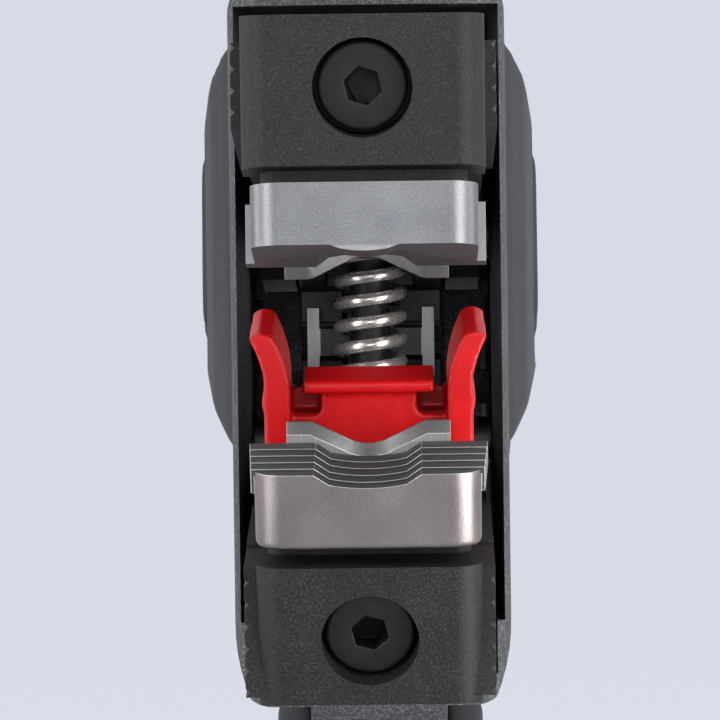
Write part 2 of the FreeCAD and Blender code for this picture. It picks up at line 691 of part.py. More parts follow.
def make_clamp(name, side):
    """A steel clamp: gripping block, front boss and a tang that carries the screw."""
    piece = Piece(name)
    low, high = sizes.clamp_reach, clamp_top[side]
    half, boss_half = sizes.clamp_width / 2, sizes.clamp_boss_width / 2
    flat, floor = sizes.groove_width / 2, sizes.groove_width / 2 - 1.2
    sagitta = sizes.groove_depth * 0.27
    radius = floor_arc(floor, sagitta)
    grip_line = grip_profile(side, low, low + sizes.groove_depth, flat, floor, 0.73)
    front = [(nose_at(side, low), low), (nose_at(side, high), high)]
    back = [(sizes.clamp_depth, high), (sizes.clamp_depth, low)]
    piece.add(piece.outline("YZ", jaw_points(side, front + back), -boss_half), sizes.clamp_boss_width)
    piece.round_edges(sizes.clamp_corner, slanted_front_edges(jaw_points(side, front), boss_half))
    if side == LOWER:
        piece.round_edges(sizes.clamp_rim, level_edges(boss_half, jaw_above(side, high)))
    front_station = jaw_along(-3)
    boss_end = nose_at(side, low) + sizes.clamp_boss_depth
    if side == UPPER:
        flange_front = sizes.clamp_depth - sizes.clamp_flange
        box_in_jaw(piece, side, half, (flange_front, sizes.clamp_depth), (low, high))
        bump_half, bump_floor = sizes.bump_width / 2, sizes.bump_width / 2 - 0.8
        bump_line = grip_profile(side, low, low - sizes.bump_depth, bump_half, bump_floor, 0.6)
        bump_line += [(bump_half, jaw_above(side, low + 0.4)), (-bump_half, jaw_above(side, low + 0.4))]
        bump_arc = (1, floor_arc(bump_floor, sizes.bump_depth * 0.4), -1)
        piece.add(piece.outline("XZ", bump_line, jaw_along(nose_at(side, low)), [bump_arc]), 4)
    else:
        front_half, block_front = sizes.clamp_front_width / 2, jaw_along(boss_end + sizes.tooth_valley)
        block_back = jaw_along(sizes.clamp_depth)
        plan = [(-front_half, block_front), (front_half, block_front)]
        plan += [(half, block_back), (-half, block_back)]
        start, height = span_up(side, low, low + sizes.clamp_lip)
        piece.add(piece.outline("XY", plan, start), height)
        away = jaw_above(side, low - 2)
        grip_line += [(flat, away), (-flat, away)]
        groove = piece.outline("XZ", grip_line, front_station, [(1, radius, -1)])
        piece.cut(groove, sizes.clamp_depth + 6)
    if side == UPPER:
        hollow_line = grip_profile(side, low - 0.6, low + 0.1, flat, floor, 0.9)
        hollow_arc = (1, floor_arc(floor, sizes.groove_depth * 0.05), 1)
        deep_line = grip_profile(side, low - 0.6, low + sizes.groove_depth, flat + 0.6, floor, 0.8)
        hollow_end = jaw_along(sizes.clamp_depth + 0.5)
        hollow = piece.body.newObject("PartDesign::SubtractiveLoft", name + "_hollow")
        hollow.Profile = piece.outline("XZ", hollow_line, jaw_along(4.5), [hollow_arc])
        hollow.Sections = [piece.outline("XZ", deep_line, hollow_end, [(1, radius, 1)])]
        hollow.Ruled = True
        piece.body.Tip = hollow
    else:
        valley = low + sizes.tooth_depth
        valley_line = grip_profile(side, valley, valley + sizes.groove_depth, flat, floor, 0.73)
        edge = jaw_above(side, valley)
        sides = [(half + 1, edge), (half + 1, away), (-half - 1, away), (-half - 1, edge)]
        valley_sketch = piece.outline("XZ", valley_line + sides, jaw_along(boss_end), [(1, radius, -1)])
        piece.repeat(piece.cut(valley_sketch, sizes.tooth_valley), sizes.tooth_pitch * 3, 4)
    box_in_jaw(piece, side, sizes.tang_width / 2, tang_stations(side), (high - 1, tang_top[side]))
    start, end = sizes.nose_wall - 3, sizes.nose_wall + sizes.tang_depth + 2.5
    rings = [(start, 0), (end, 0), (end, sizes.screw_radius), (start, sizes.screw_radius)]
    piece.turn_out(screw_axis_points(side, rings))
    return piece.finish(jaw_placement(side))


def make_clamp_screw(name, side):
    """A low socket-head screw drawn along its own +Z, then laid along the clamp screw's axis."""
    piece = Piece(name)
    piece.add(piece.disc("XY", (0, 0), sizes.screw_head_radius, 0), sizes.screw_head_height)
    piece.round_edges(0.35, lambda edge: abs(edge.BoundBox.ZMax) < 1e-6)
    piece.add(piece.disc("XY", (0, 0), sizes.screw_radius, sizes.screw_head_height), 5.8)
    corner = sizes.hex_across / 2 / cosine(Size(30.0, "30"))
    turns = [sizes.hex_turn + 60 * number for number in range(6)]
    hexagon = [(corner * cosine(turn), corner * sine(turn)) for turn in turns]
    piece.cut(piece.outline("XY", hexagon, 0), 1.5)
    (root_y, root_z), = screw_axis_points(side, [(sizes.screw_sink, 0)])
    turn, swing = sine(sizes.open_angle) * -side, cosine(sizes.open_angle)
    base_y = along(sizes.jaw_reach) + root_y * swing - root_z * turn
    base_z = above(sizes.jaw_pivot_rise * side) + root_y * turn + root_z * swing
    angle = sizes.nose_slant - 90 - sizes.open_angle * side
    spin = f"rotation(vector(1; 0; 0); {angle.text})"
    return piece.finish(f"placement(vector(0; {base_y.text}; {base_z.text}); {spin})")


def make_blade(name, side):
    """A ground blade with a sloped notch and a rounded floor, bevelled on the mouth side."""
    piece = Piece(name)
    half, notch, floor = sizes.blade_width / 2, sizes.notch_width / 2, sizes.notch_floor / 2
    edge, top = blade_edge[side], sizes.carrier_reach + sizes.carrier_thickness - 0.1
    slope_end = edge + sizes.notch_depth * 0.75
    right = [(floor, slope_end), (notch, edge), (half, edge), (half, top)]
    profile = [(across, jaw_above(side, reach)) for across, reach in right]
    profile += [(-across, up) for across, up in reversed(profile)]
    arc = (len(profile) - 1, floor_arc(floor, sizes.notch_depth * 0.25), side)
    front = jaw_along(blade_station)
    piece.add(piece.outline("XZ", profile, front, [arc]), sizes.blade_thickness)
    if side == UPPER:
        piece.round_edges(sizes.notch_depth, level_edges(notch, jaw_above(side, edge)))
    limit = jaw_above(side, edge + sizes.notch_depth + 0.1).value

    def cutting(edge_line):
        points = edge_line.discretize(5)
        level = all(abs(point.y - front.value) < 1e-4 for point in points)
        return level and all((limit - point.z) * side > 0 for point in points)

    piece.bevel_edges(sizes.blade_bevel, cutting)
    return piece.finish(jaw_placement(side))


def make_carrier(name, side):
    """A blade carrier: plate with a spring slot, guide rib and two lugs for the draw bar."""
    piece = Piece(name)
    half = sizes.carrier_width / 2
    low, high = sizes.carrier_reach, sizes.carrier_reach + sizes.carrier_thickness
    box_in_jaw(piece, side, half, (carrier_start, carrier_end), (low, high))
    box_in_jaw(piece, side, sizes.rib_width / 2, (carrier_start, carrier_start + sizes.rib_length - 4),
               (high - 0.5, high + sizes.rib_height))
    lug = (carrier_end - sizes.carrier_lug, carrier_end)
    box_in_jaw(piece, side, half, lug, (sizes.lug_reach, low + 0.5))
    notch, slot = (lug[0] - 1, carrier_end + 1), (slot_front, slot_back)
    notch_half, slot_half = sizes.bar_thickness / 2 + sizes.side_gap + 0.1, sizes.spring_radius + 0.65
    box_in_jaw(piece, side, notch_half, notch, (sizes.lug_reach - 1, low), cut=True)
    box_in_jaw(piece, side, slot_half, slot, (low - 1, high + 1), cut=True)
    return piece.finish(jaw_placement(side))


def mirrored_profile(side, corners):
    """An outline across the tool from its right half, given as distance from the middle and reach."""
    right = [(as_size(across), jaw_above(side, reach)) for across, reach in corners]
    return right + [(-across, up) for across, up in reversed(right)]


def ear_outline(side, tip, top):
    """A stop's ear from the front: a straight leg with a heel, then a horn that curves out to its tip."""
    inner = sizes.carrier_width / 2 + 0.25
    outer = inner + sizes.stop_ear_wall
    leg_end = sizes.carrier_reach + sizes.carrier_thickness - 0.4
    corners = [
        (inner, leg_end),
        (inner, top * -0.27),
        (tip - 1.8, top * -0.965),
        (tip - 0.9, -top),
        (tip, top * -0.94),
        (outer, top * -0.44),
        (outer, top * -0.3),
        (outer + 0.2, top * -0.13),
        (outer, 0),
        (outer, leg_end),
    ]
    curves = [(1, top * 1.32, 1), (4, top * 1.7, 1)]
    return [(as_size(across), jaw_above(side, reach)) for across, reach in corners], curves


def make_stop():
    """The length stop: a cross bar on a post, a low wall and two ears, riding on the lower carrier."""
    piece = Piece("wire_stop")
    side = LOWER
    bridge = sizes.carrier_reach - sizes.side_gap
    base_top = sizes.stop_floor
    base = sizes.carrier_width / 2 + 0.55
    front = jaw_along(stop_station)
    bar, post = sizes.stop_bar_width / 2, sizes.stop_post_width / 2
    bar_low = sizes.stop_bar_height - sizes.stop_height
    stem = [(post, bar_low - 0.3), (post, base_top), (base, base_top), (base, bridge)]
    piece.add(piece.outline("XZ", mirrored_profile(side, stem), front), sizes.stop_plate)
    piece.round_edges(sizes.stop_overhang * 0.7, level_edges(post, jaw_above(side, base_top)))
    wall = [(base, -sizes.stop_wall_height), (base, bridge)]
    wall_front = front + sizes.stop_plate - sizes.stop_wall
    piece.add(piece.outline("XZ", mirrored_profile(side, wall), wall_front), sizes.stop_wall)
    cross_front, cross_back = stop_station - sizes.stop_overhang, stop_station + sizes.stop_plate
    cross = [(cross_front, bar_low), (cross_front, sizes.stop_bar_slope - sizes.stop_height)]
    cross += [(cross_back, -sizes.stop_height), (cross_back, bar_low)]
    piece.add(piece.outline("YZ", jaw_points(side, cross), -bar), sizes.stop_bar_width)
    tip, top = sizes.stop_span / 2, sizes.stop_ear_height
    near, near_curves = ear_outline(side, tip, top)
    far, far_curves = ear_outline(side, tip - 0.2, top + sizes.stop_ear_lift)
    ear_front = front - 2.2
    ear = piece.body.newObject("PartDesign::AdditiveLoft", "wire_stop_ear")
    ear.Profile = piece.outline("XZ", near, ear_front, near_curves)
    ear.Sections = [piece.outline("XZ", far, ear_front + sizes.stop_ear_depth, far_curves)]
    ear.Ruled = True
    piece.body.Tip = ear
    piece.mirror([ear])
    return piece.finish(jaw_placement(side))


make_jaw("upper_jaw", UPPER)
make_jaw("lower_jaw", LOWER)
make_clamp("upper_clamp", UPPER)
make_clamp("lower_clamp", LOWER)
make_clamp_screw("upper_clamp_screw", UPPER)
make_clamp_screw("lower_clamp_screw", LOWER)
make_blade("upper_blade", UPPER)
make_blade("lower_blade", LOWER)
make_carrier("upper_carrier", UPPER)
make_carrier("lower_carrier", LOWER)
make_stop()


def tool_points(corners):
    """Side-outline corners, given as station and rise, on the whole tool."""
    return [(along(as_size(station)), above(as_size(rise))) for station, rise in corners]


half_head = sizes.head_width / 2
inside = half_head - sizes.housing_wall
tail = sizes.total_length
drive_radius = sizes.bar_stroke / sine(sizes.squeeze_angle / 2) / 2
drive_station = lever_station - sizes.bar_stroke / 2
drive_rise = sizes.lever_rise - drive_radius * cosine(sizes.squeeze_angle / 2)
tail_top = -3.0
crotch = lever_station + sizes.crotch_offset
cover_screw_places = [
    (sizes.jaw_reach + 9, sizes.housing_rise - 6),
    (lever_station + sizes.lever_boss + 2.1, sizes.housing_rise - 5.6),
    (sizes.jaw_reach + 4, 7 - sizes.housing_drop),
    (dial_station + 16, dial_rise - 6),
]
tether = (tail - 7, tail_top - sizes.tail_depth / 2)


def side_span(side, near, far):
    """Where a stretch between two distances from the middle plane starts, and its length."""
    near, far = as_size(near), as_size(far)
    return (near if side == RIGHT else -far), far - near


def side_block(piece, side, corners, near, far, cut=False):
    """Pad or cut a side outline between two distances from the middle plane."""
    start, length = side_span(side, near, far)
    sketch = piece.outline("YZ", tool_points(corners), start)
    return piece.cut(sketch, length) if cut else piece.add(sketch, length)


def side_disc(piece, side, place, radius, near, far, cut=False):
    """Pad or cut a round between two distances from the middle plane."""
    start, length = side_span(side, near, far)
    centre, = tool_points([place])
    sketch = piece.disc("YZ", centre, radius, start)
    return piece.cut(sketch, length) if cut else piece.add(sketch, length)


def rectangle(front, back, low, high):
    """The corners of an upright rectangle."""
    return [(front, low), (back, low), (back, high), (front, high)]


def make_housing(name, side):
    """One half of the housing and fixed handle."""
    piece = Piece(name)
    roof, floor = sizes.housing_rise, -sizes.housing_drop
    rim = sizes.housing_rim
    shell = [
        (sizes.housing_front, roof),
        (lever_station + 18, roof),
        (dial_station + 16, dial_rise - 0.5),
        (tail, tail_top),
        (tail, tail_top - sizes.tail_depth),
        (crotch + 6, -11),
        (crotch - 14, -13),
        (lever_station - 2, -22),
        (sizes.jaw_reach + 8, floor),
        (sizes.housing_front, floor),
    ]
    side_block(piece, side, shell, 0, half_head)
    points = tool_points(shell)
    piece.round_edges(9.0, corner_edges(points[3], points[4]))
    piece.round_edges(14.0, corner_edges(points[1], points[2], points[6], points[7], points[8]))
    piece.round_edges(3.2, rim_edges(half_head * side))
    drawn_in = half_head - sizes.belly_depth
    belly = [
        (half_head * side, above(floor + sizes.belly_height)),
        (drawn_in * side, above(floor)),
        (drawn_in * side, above(floor - 1)),
        ((half_head + 1) * side, above(floor - 1)),
        ((half_head + 1) * side, above(floor + sizes.belly_height)),
    ]
    belly_arc = (0, floor_arc(sizes.belly_height, sizes.belly_depth), -1)
    belly_start, belly_length = along(sizes.housing_front - 1), sizes.lever_offset + sizes.jaw_reach / 2
    piece.cut(piece.outline("XZ", belly, belly_start, [belly_arc]), belly_length)
    head_room = [
        (sizes.housing_front - 4, roof - rim),
        (lever_station + 17, roof - rim),
        (dial_station + 13, dial_rise - 3),
        (crotch, 12),
        (crotch, -sizes.housing_drop - 14),
        (sizes.jaw_reach + 12, -sizes.housing_drop - 14),
        (sizes.jaw_reach + 12, floor + rim),
        (sizes.housing_front - 4, floor + rim),
    ]
    side_block(piece, side, head_room, 0, inside, cut=True)
    flare = [
        ((inside - 0.1) * side, along(sizes.housing_front)),
        ((half_head - sizes.housing_lip) * side, along(sizes.housing_front)),
        ((inside - 0.1) * side, along(sizes.housing_front + sizes.housing_flare)),
    ]
    flare_low = floor + sizes.belly_height
    piece.cut(piece.outline("XY", flare, above(flare_low)), roof - rim - flare_low)
    handle_room = [
        (crotch + 4, 16),
        (tail - 14, tail_top + 1.5),
        (tail - 14, tail_top - sizes.tail_depth + 7),
        (crotch + 8, -8),
        (crotch + 4, -7),
    ]
    side_block(piece, side, handle_room, 0, inside, cut=True)
    for low, high in ((3, 6), (-6, -3)):
        guide = rectangle(sizes.jaw_reach + 10.4, sizes.jaw_reach + 12.8, low, high)
        gap = sizes.bar_height / 2 + sizes.side_gap - 3
        guide = [(station, rise + (gap if low > 0 else -gap)) for station, rise in guide]
        side_block(piece, side, guide, 0, inside + 0.1)
    pivot = (lever_station, sizes.lever_rise)
    side_disc(piece, side, pivot, sizes.lever_pin_radius + 2.4, sizes.lever_width / 2 + 0.4, inside + 0.1)
    axle = (dial_station, dial_rise)
    side_disc(piece, side, axle, sizes.dial_axle_radius + 1.7, sizes.dial_width / 2 + 0.4, inside + 0.1)
    for place in cover_screw_places:
        side_disc(piece, side, place, sizes.cover_screw_radius + 1.1, 0, inside + 0.1)
    window = rectangle(dial_station - sizes.dial_radius - 1, dial_station + sizes.dial_radius + 1,
                       dial_rise - 8, dial_rise + 12)
    side_block(piece, side, window, 0, sizes.dial_width / 2 + sizes.side_gap, cut=True)
    for place, radius in ((pivot, sizes.lever_pin_radius), (axle, sizes.dial_axle_radius)):
        side_disc(piece, side, place, radius, 0, half_head + 1, cut=True)
    for rise in (sizes.jaw_pivot_rise, -sizes.jaw_pivot_rise):
        side_disc(piece, side, (sizes.jaw_reach, rise), sizes.jaw_pin_radius, 0, half_head + 1, cut=True)
    for place in cover_screw_places:
        side_disc(piece, side, place, sizes.cover_screw_radius, 0, half_head + 1, cut=True)
        sunk = half_head - 1.1
        side_disc(piece, side, place, sizes.cover_screw_radius + 1.1, sunk, half_head + 1, cut=True)
    side_disc(piece, side, tether, sizes.tether_radius, 0, half_head + 1, cut=True)
    return piece.finish()


def make_grip(name, side):
    """A soft pad on a housing half: sloping sides from its foot on the wall up to a flat crown."""
    piece = Piece(name)
    front, taper = sizes.housing_front + 6, sizes.grip_taper
    shoulder, run = sizes.grip_shoulder, sizes.grip_run
    foot = [
        (front, sizes.grip_top),
        (lever_station + 14, sizes.lever_rise - 8.5),
        (crotch - 4, 8.5),
        (tail - 16, -11),
        (tail - 16, -18.5),
        (crotch + 6, -6.5),
        (crotch - 16, -7),
        (lever_station - 2, -sizes.grip_drop),
        (front, -sizes.grip_drop),
    ]
    inset = [
        (run, -shoulder),
        (0, taper * -0.6),
        (0, taper * -0.4),
        (taper * -0.3, taper * -0.2),
        (taper * -0.3, taper * 0.3),
        (0, taper * 0.3),
        (0, taper * 0.5),
        (0, taper * 0.8),
        (run, shoulder),
    ]

    def section(drawn_in, raised):
        places = [(along_foot + as_size(shift_along) * drawn_in, up_foot + as_size(shift_up) * drawn_in)
                  for (along_foot, up_foot), (shift_along, shift_up) in zip(foot, inset)]
        return piece.outline("YZ", tool_points(places), (half_head + sizes.grip_pad * raised) * side)

    pad = piece.body.newObject("PartDesign::AdditiveLoft", name + "_loft")
    pad.Profile = section(0, 0)
    pad.Sections = [section(0.45, 0.62), section(1, 1)]
    pad.Ruled = True
    piece.body.Tip = pad
    return piece.finish()


def handle_corners(places):
    """Corners of the handle, in 107ths of its drop behind and below its pivot."""
    part = sizes.handle_drop / 107
    return [(lever_station + part * behind, sizes.lever_rise - part * below) for behind, below in places]


def make_lever():
    """The moving handle: a fork around the draw bar and a tongue for the soft grip."""
    piece = Piece("handle_lever")
    half = sizes.lever_width / 2
    pivot = (lever_station, sizes.lever_rise)
    front_edge = [(2, 48), (13, 61), (31, 76), (50, 92), (63, 101)]
    back_edge = [(67, 97.5), (54, 83.5), (37, 69.5), (20, 51), (13, 30)]
    arm = [
        (lever_station - sizes.lever_boss, sizes.lever_rise),
        (drive_station - 5, drive_rise + 2),
        (drive_station - 4, drive_rise - 7),
        *handle_corners(front_edge + back_edge),
        (lever_station + sizes.lever_boss, sizes.lever_rise),
    ]
    points = tool_points(arm)
    piece.add(piece.outline("YZ", points, -half), sizes.lever_width)
    piece.round_edges(10.0, corner_edges(points[3], points[11]))
    piece.round_edges(4.0, corner_edges(points[1], points[2]))
    piece.add(piece.disc("YZ", tool_points([pivot])[0], sizes.lever_boss, -half), sizes.lever_width)
    gap = sizes.bar_thickness / 2 + sizes.side_gap + 0.1
    slot = tool_points(rectangle(sizes.jaw_reach, lever_station + 26, drive_rise - 9, sizes.lever_rise + 12))
    piece.cut(piece.outline("YZ", slot, -gap), gap * 2)
    bore = sizes.lever_pin_radius + sizes.running_gap
    piece.cut(piece.disc("YZ", tool_points([pivot])[0], bore, -half - 1), sizes.lever_width + 2)
    drive = tool_points([(drive_station, drive_rise)])[0]
    piece.cut(piece.disc("YZ", drive, sizes.drive_pin_radius, -half - 1), sizes.lever_width + 2)
    return piece.finish()


def make_lever_grip(lever):
    """The soft grip that is moulded over the lever's tongue."""
    piece = Piece("lever_grip_block")
    half = sizes.handle_width / 2
    front_edge = [(10, 63.5), (29, 79.5), (48, 95.5), (62, 106), (66, 107)]
    back_edge = [(72, 100.5), (57, 81), (40, 66.5), (25, 52.5)]
    points = tool_points(handle_corners(front_edge + back_edge))
    piece.add(piece.outline("YZ", points, -half), sizes.handle_width)
    piece.round_edges(3.0, corner_edges(points[0], points[3], points[4], points[5], points[8]))
    piece.round_edges(2.7, rim_edges(half))
    piece.round_edges(2.7, rim_edges(-half))
    grip = doc.addObject("Part::Cut", "lever_grip_cut")
    grip.Base = piece.body
    grip.Tool = lever
    hand_in("lever_grip", grip)
    return grip


def make_draw_bar():
    """The draw bar: two posts on a web ahead of the carriers' lugs, a stem and a slotted plate."""
    piece = Piece("draw_bar")
    half, deep = sizes.bar_thickness / 2, sizes.bar_height / 2
    head_front = spring_station + sizes.spring_radius + 0.65
    plate_front, plate_back = drive_station - 6, drive_station + 6
    head_half, head_back = sizes.bar_head_width / 2, head_front + sizes.bar_head
    web = tool_points(rectangle(head_front, head_back, sizes.bar_web / -2, sizes.bar_web / 2))
    piece.add(piece.outline("YZ", web, -head_half), sizes.bar_head_width)
    post = tool_points(rectangle(head_front, head_back, -deep, deep))
    piece.mirror([piece.add(piece.outline("YZ", post, head_half - sizes.bar_post), sizes.bar_post)])
    stem = tool_points(rectangle(head_front, plate_back, -deep, deep))
    piece.add(piece.outline("YZ", stem, -half), sizes.bar_thickness)
    plate = tool_points(rectangle(plate_front, plate_back, drive_rise - 5, deep))
    piece.add(piece.outline("YZ", plate, -half), sizes.bar_thickness)
    lift = drive_radius * (1 - cosine(sizes.squeeze_angle / 2))
    reach = sizes.drive_pin_radius + sizes.running_gap
    slot_low = drive_rise - lift - sizes.drive_pin_radius - sizes.side_gap
    slot_high = drive_rise + sizes.drive_pin_radius + sizes.side_gap
    slot = rectangle(drive_station - reach, drive_station + reach, slot_low, slot_high)
    piece.cut(piece.outline("YZ", tool_points(slot), -half - 1), sizes.bar_thickness + 2)
    return piece.finish()


def cross_pin(name, place, radius, half_length):
    """A round pin across the tool."""
    pin = doc.addObject("Part::Cylinder", name + "_cylinder")
    (across, up), = tool_points([place])
    half_length = as_size(half_length)
    pin.setExpression("Radius", as_size(radius).text)
    pin.setExpression("Height", (half_length * 2).text)
    base = f"vector({(-half_length).text}; {across.text}; {up.text})"
    pin.setExpression("Placement", f"placement({base}; rotation(vector(0; 1; 0); 90))")
    hand_in(name, pin)
    return pin


def coil(name, radius, wire, pitch, height):
    """A coil of round wire along +Z."""
    helix = doc.addObject("Part::Helix", name + "_helix")
    helix.setExpression("Radius", as_size(radius).text)
    helix.setExpression("Pitch", as_size(pitch).text)
    helix.setExpression("Height", as_size(height).text)
    ring = doc.addObject("Part::Circle", name + "_ring")
    ring.setExpression("Radius", (as_size(wire) / 2).text)
    base = f"vector({as_size(radius).text}; 0; 0)"
    ring.setExpression("Placement", f"placement({base}; rotation(vector(1; 0; 0); 90))")
    sweep = doc.addObject("Part::Sweep", name + "_coil")
    sweep.Sections = [ring]
    sweep.Spine = (helix, [])
    sweep.Solid = True
    sweep.Frenet = True
    return sweep


def make_jaw_spring():
    """The open coil spring that stands between the jaws."""
    opened = (sizes.jaw_reach - spring_station) * sine(sizes.open_angle)
    seat = sizes.jaw_pivot_rise + opened + (seat_reach - sizes.jaw_pivot_rise) * cosine(sizes.open_angle)
    half = seat - sizes.spring_radius * sine(sizes.open_angle) - 0.05
    height = (half - sizes.spring_wire / 2) * 2
    mean_radius = sizes.spring_radius - sizes.spring_wire / 2
    spring = coil("jaw_spring", mean_radius, sizes.spring_wire, sizes.spring_pitch, height)
    across, up = along(spring_station), above(-half + sizes.spring_wire / 2)
    base = f"vector(0; {across.text}; {up.text})"
    spring.setExpression("Placement", f"placement({base}; rotation(vector(0; 0; 1); 0))")
    hand_in("jaw_spring", spring)


def make_return_spring():
    """The torsion spring on the lever pin: a close coil and two legs."""
    radius = sizes.lever_pin_radius + sizes.return_wire / 2 + 0.4
    pitch = sizes.return_wire + 0.15
    height = pitch * sizes.return_coils
    spring = coil("return_coil", radius, sizes.return_wire, pitch, height)
    (across, up), = tool_points([(lever_station, sizes.lever_rise)])
    base = f"vector({(-height / 2).text}; {across.text}; {up.text})"
    spring.setExpression("Placement", f"placement({base}; rotation(vector(0; 1; 0); 90))")
    legs = []
    leg_rows = ((-1, 1, sizes.lever_boss * 1.4), (1, -1, sizes.lever_boss * 2))
    for number, (end, direction, length) in enumerate(leg_rows):
        leg = doc.addObject("Part::Cylinder", f"return_leg_{number}")
        leg.setExpression("Radius", (sizes.return_wire / 2).text)
        leg.setExpression("Height", as_size(length).text)
        base = f"vector({(height / 2 * end).text}; {across.text}; {(up - radius).text})"
        turn = f"rotation(vector(1; 0; 0); {90 * direction})"
        leg.setExpression("Placement", f"placement({base}; {turn})")
        legs.append(leg)
    whole = doc.addObject("Part::MultiFuse", "return_spring_fuse")
    whole.Shapes = [spring] + legs
    hand_in("return_spring", whole)


def make_dial():
    """The adjusting dial, with one notch in its rim as a mark."""
    piece = Piece("dial")
    half = sizes.dial_width / 2
    centre, = tool_points([(dial_station, dial_rise)])
    piece.add(piece.disc("YZ", centre, sizes.dial_radius, -half), sizes.dial_width)
    piece.round_edges(0.7, lambda edge: abs(edge.Length - 2 * math.pi * sizes.dial_radius.value) < 1e-3)
    notch_place = (centre[0] + sizes.dial_radius + 0.25, centre[1])
    piece.cut(piece.disc("YZ", notch_place, 0.8, -half - 1), sizes.dial_width + 2)
    bore = sizes.dial_axle_radius + sizes.running_gap
    piece.cut(piece.disc("YZ", centre, bore, -half - 1), sizes.dial_width + 2)
    return piece.finish()


def make_cover_screws():
    """The screws that join the housing halves, as one piece of several solids."""
    solids = []
    for number, place in enumerate(cover_screw_places):
        radius, head_radius = sizes.cover_screw_radius, sizes.cover_screw_radius + 1.1
        shank = screw_cylinder(f"cover_shank_{number}", place, radius, half_head - 0.6)
        head = screw_cylinder(f"cover_head_{number}", place, head_radius, 0.9, half_head - 0.2)
        tail_nut = screw_cylinder(f"cover_nut_{number}", place, head_radius, 0.9, 1.1 - half_head)
        whole = doc.addObject("Part::MultiFuse", f"cover_screw_{number}")
        whole.Shapes = [shank, head, tail_nut]
        solids.append(whole)
    group = doc.addObject("Part::Compound", "cover_screws_group")
    group.Links = solids
    hand_in("cover_screws", group)


def screw_cylinder(name, place, radius, length, right_end=None):
    """A cylinder across the tool: centred, or ending at a distance to the right."""
    cylinder = doc.addObject("Part::Cylinder", name)
    length = as_size(length)
    (across, up), = tool_points([place])
    start = -length if right_end is None else as_size(right_end) - length
    height = length * 2 if right_end is None else length
    cylinder.setExpression("Radius", as_size(radius).text)
    cylinder.setExpression("Height", height.text)
    base = f"vector({start.text}; {across.text}; {up.text})"
    cylinder.setExpression("Placement", f"placement({base}; rotation(vector(0; 1; 0); 90))")
    return cylinder


make_housing("left_housing", LEFT)
make_housing("right_housing", RIGHT)
make_grip("left_grip", LEFT)
make_grip("right_grip", RIGHT)
make_lever_grip(make_lever())
make_draw_bar()
cross_pin("upper_jaw_pin", (sizes.jaw_reach, sizes.jaw_pivot_rise), sizes.jaw_pin_radius, half_head - 0.2)
cross_pin("lower_jaw_pin", (sizes.jaw_reach, -sizes.jaw_pivot_rise), sizes.jaw_pin_radius, half_head - 0.2)
cross_pin("lever_pin", (lever_station, sizes.lever_rise), sizes.lever_pin_radius, half_head - 0.2)
cross_pin("drive_pin", (drive_station, drive_rise), sizes.drive_pin_radius, sizes.lever_width / 2)
cross_pin("dial_axle", (dial_station, dial_rise), sizes.dial_axle_radius, half_head - 0.2)
make_jaw_spring()
make_return_spring()
make_dial()
make_cover_screws()


# Check every object and write each piece.
doc.recompute()
for item in doc.Objects:
    if "Invalid" in item.State or "Error" in item.State:
        raise RuntimeError(f"{item.Label} failed: {item.State}")
os.makedirs("parts", exist_ok=True)
for piece in sub_parts:
    if piece.Shape.isNull() or not piece.Shape.isValid():
        raise RuntimeError(f"{piece.Label} has no sound shape")
    piece.Shape.exportStep(f"parts/{piece.Label}.step")
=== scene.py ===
"""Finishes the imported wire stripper: eased edges, wound springs, ribbed pads, real finishes and a stage."""

import json
import math

import bmesh
import bpy
import numpy as np
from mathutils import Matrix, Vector

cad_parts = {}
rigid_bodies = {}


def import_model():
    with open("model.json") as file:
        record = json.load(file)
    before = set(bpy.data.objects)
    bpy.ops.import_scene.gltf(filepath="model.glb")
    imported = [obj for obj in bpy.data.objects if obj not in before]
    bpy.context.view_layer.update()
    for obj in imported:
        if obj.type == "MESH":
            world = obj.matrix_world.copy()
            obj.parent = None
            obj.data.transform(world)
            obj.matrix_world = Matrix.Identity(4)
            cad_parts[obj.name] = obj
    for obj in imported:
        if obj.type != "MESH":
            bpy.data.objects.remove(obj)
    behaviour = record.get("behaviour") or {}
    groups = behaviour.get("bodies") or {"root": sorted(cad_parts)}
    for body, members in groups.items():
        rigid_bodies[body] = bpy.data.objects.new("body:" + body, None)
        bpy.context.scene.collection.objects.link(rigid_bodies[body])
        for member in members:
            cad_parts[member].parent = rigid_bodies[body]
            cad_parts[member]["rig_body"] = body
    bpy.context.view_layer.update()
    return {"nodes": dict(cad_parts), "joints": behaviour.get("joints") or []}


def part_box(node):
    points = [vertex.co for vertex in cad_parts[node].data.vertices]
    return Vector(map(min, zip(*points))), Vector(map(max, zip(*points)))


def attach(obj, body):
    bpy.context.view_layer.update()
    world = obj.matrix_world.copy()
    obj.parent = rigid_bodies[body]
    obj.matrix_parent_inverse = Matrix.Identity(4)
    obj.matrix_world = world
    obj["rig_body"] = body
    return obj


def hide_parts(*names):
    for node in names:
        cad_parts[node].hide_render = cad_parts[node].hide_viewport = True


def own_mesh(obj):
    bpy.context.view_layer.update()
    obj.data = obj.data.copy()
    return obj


bl_info = {
    "name": "Wire Stripper Finish",
    "version": (1, 0, 0),
    "blender": (4, 5, 0),
    "location": "View3D > Sidebar > Stripper",
    "description": "Builds the visible pieces and finishes of an automatic wire stripper",
    "category": "Object",
}

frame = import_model()
MM = 0.001
FULL_TURN = 2 * np.pi
QUARTER = math.radians(90)
PICTURE_PIXELS = 720
SENSOR_MM = 36.0

# The backdrop's share of full brightness, as the camera sees it.
PALE = 0.93

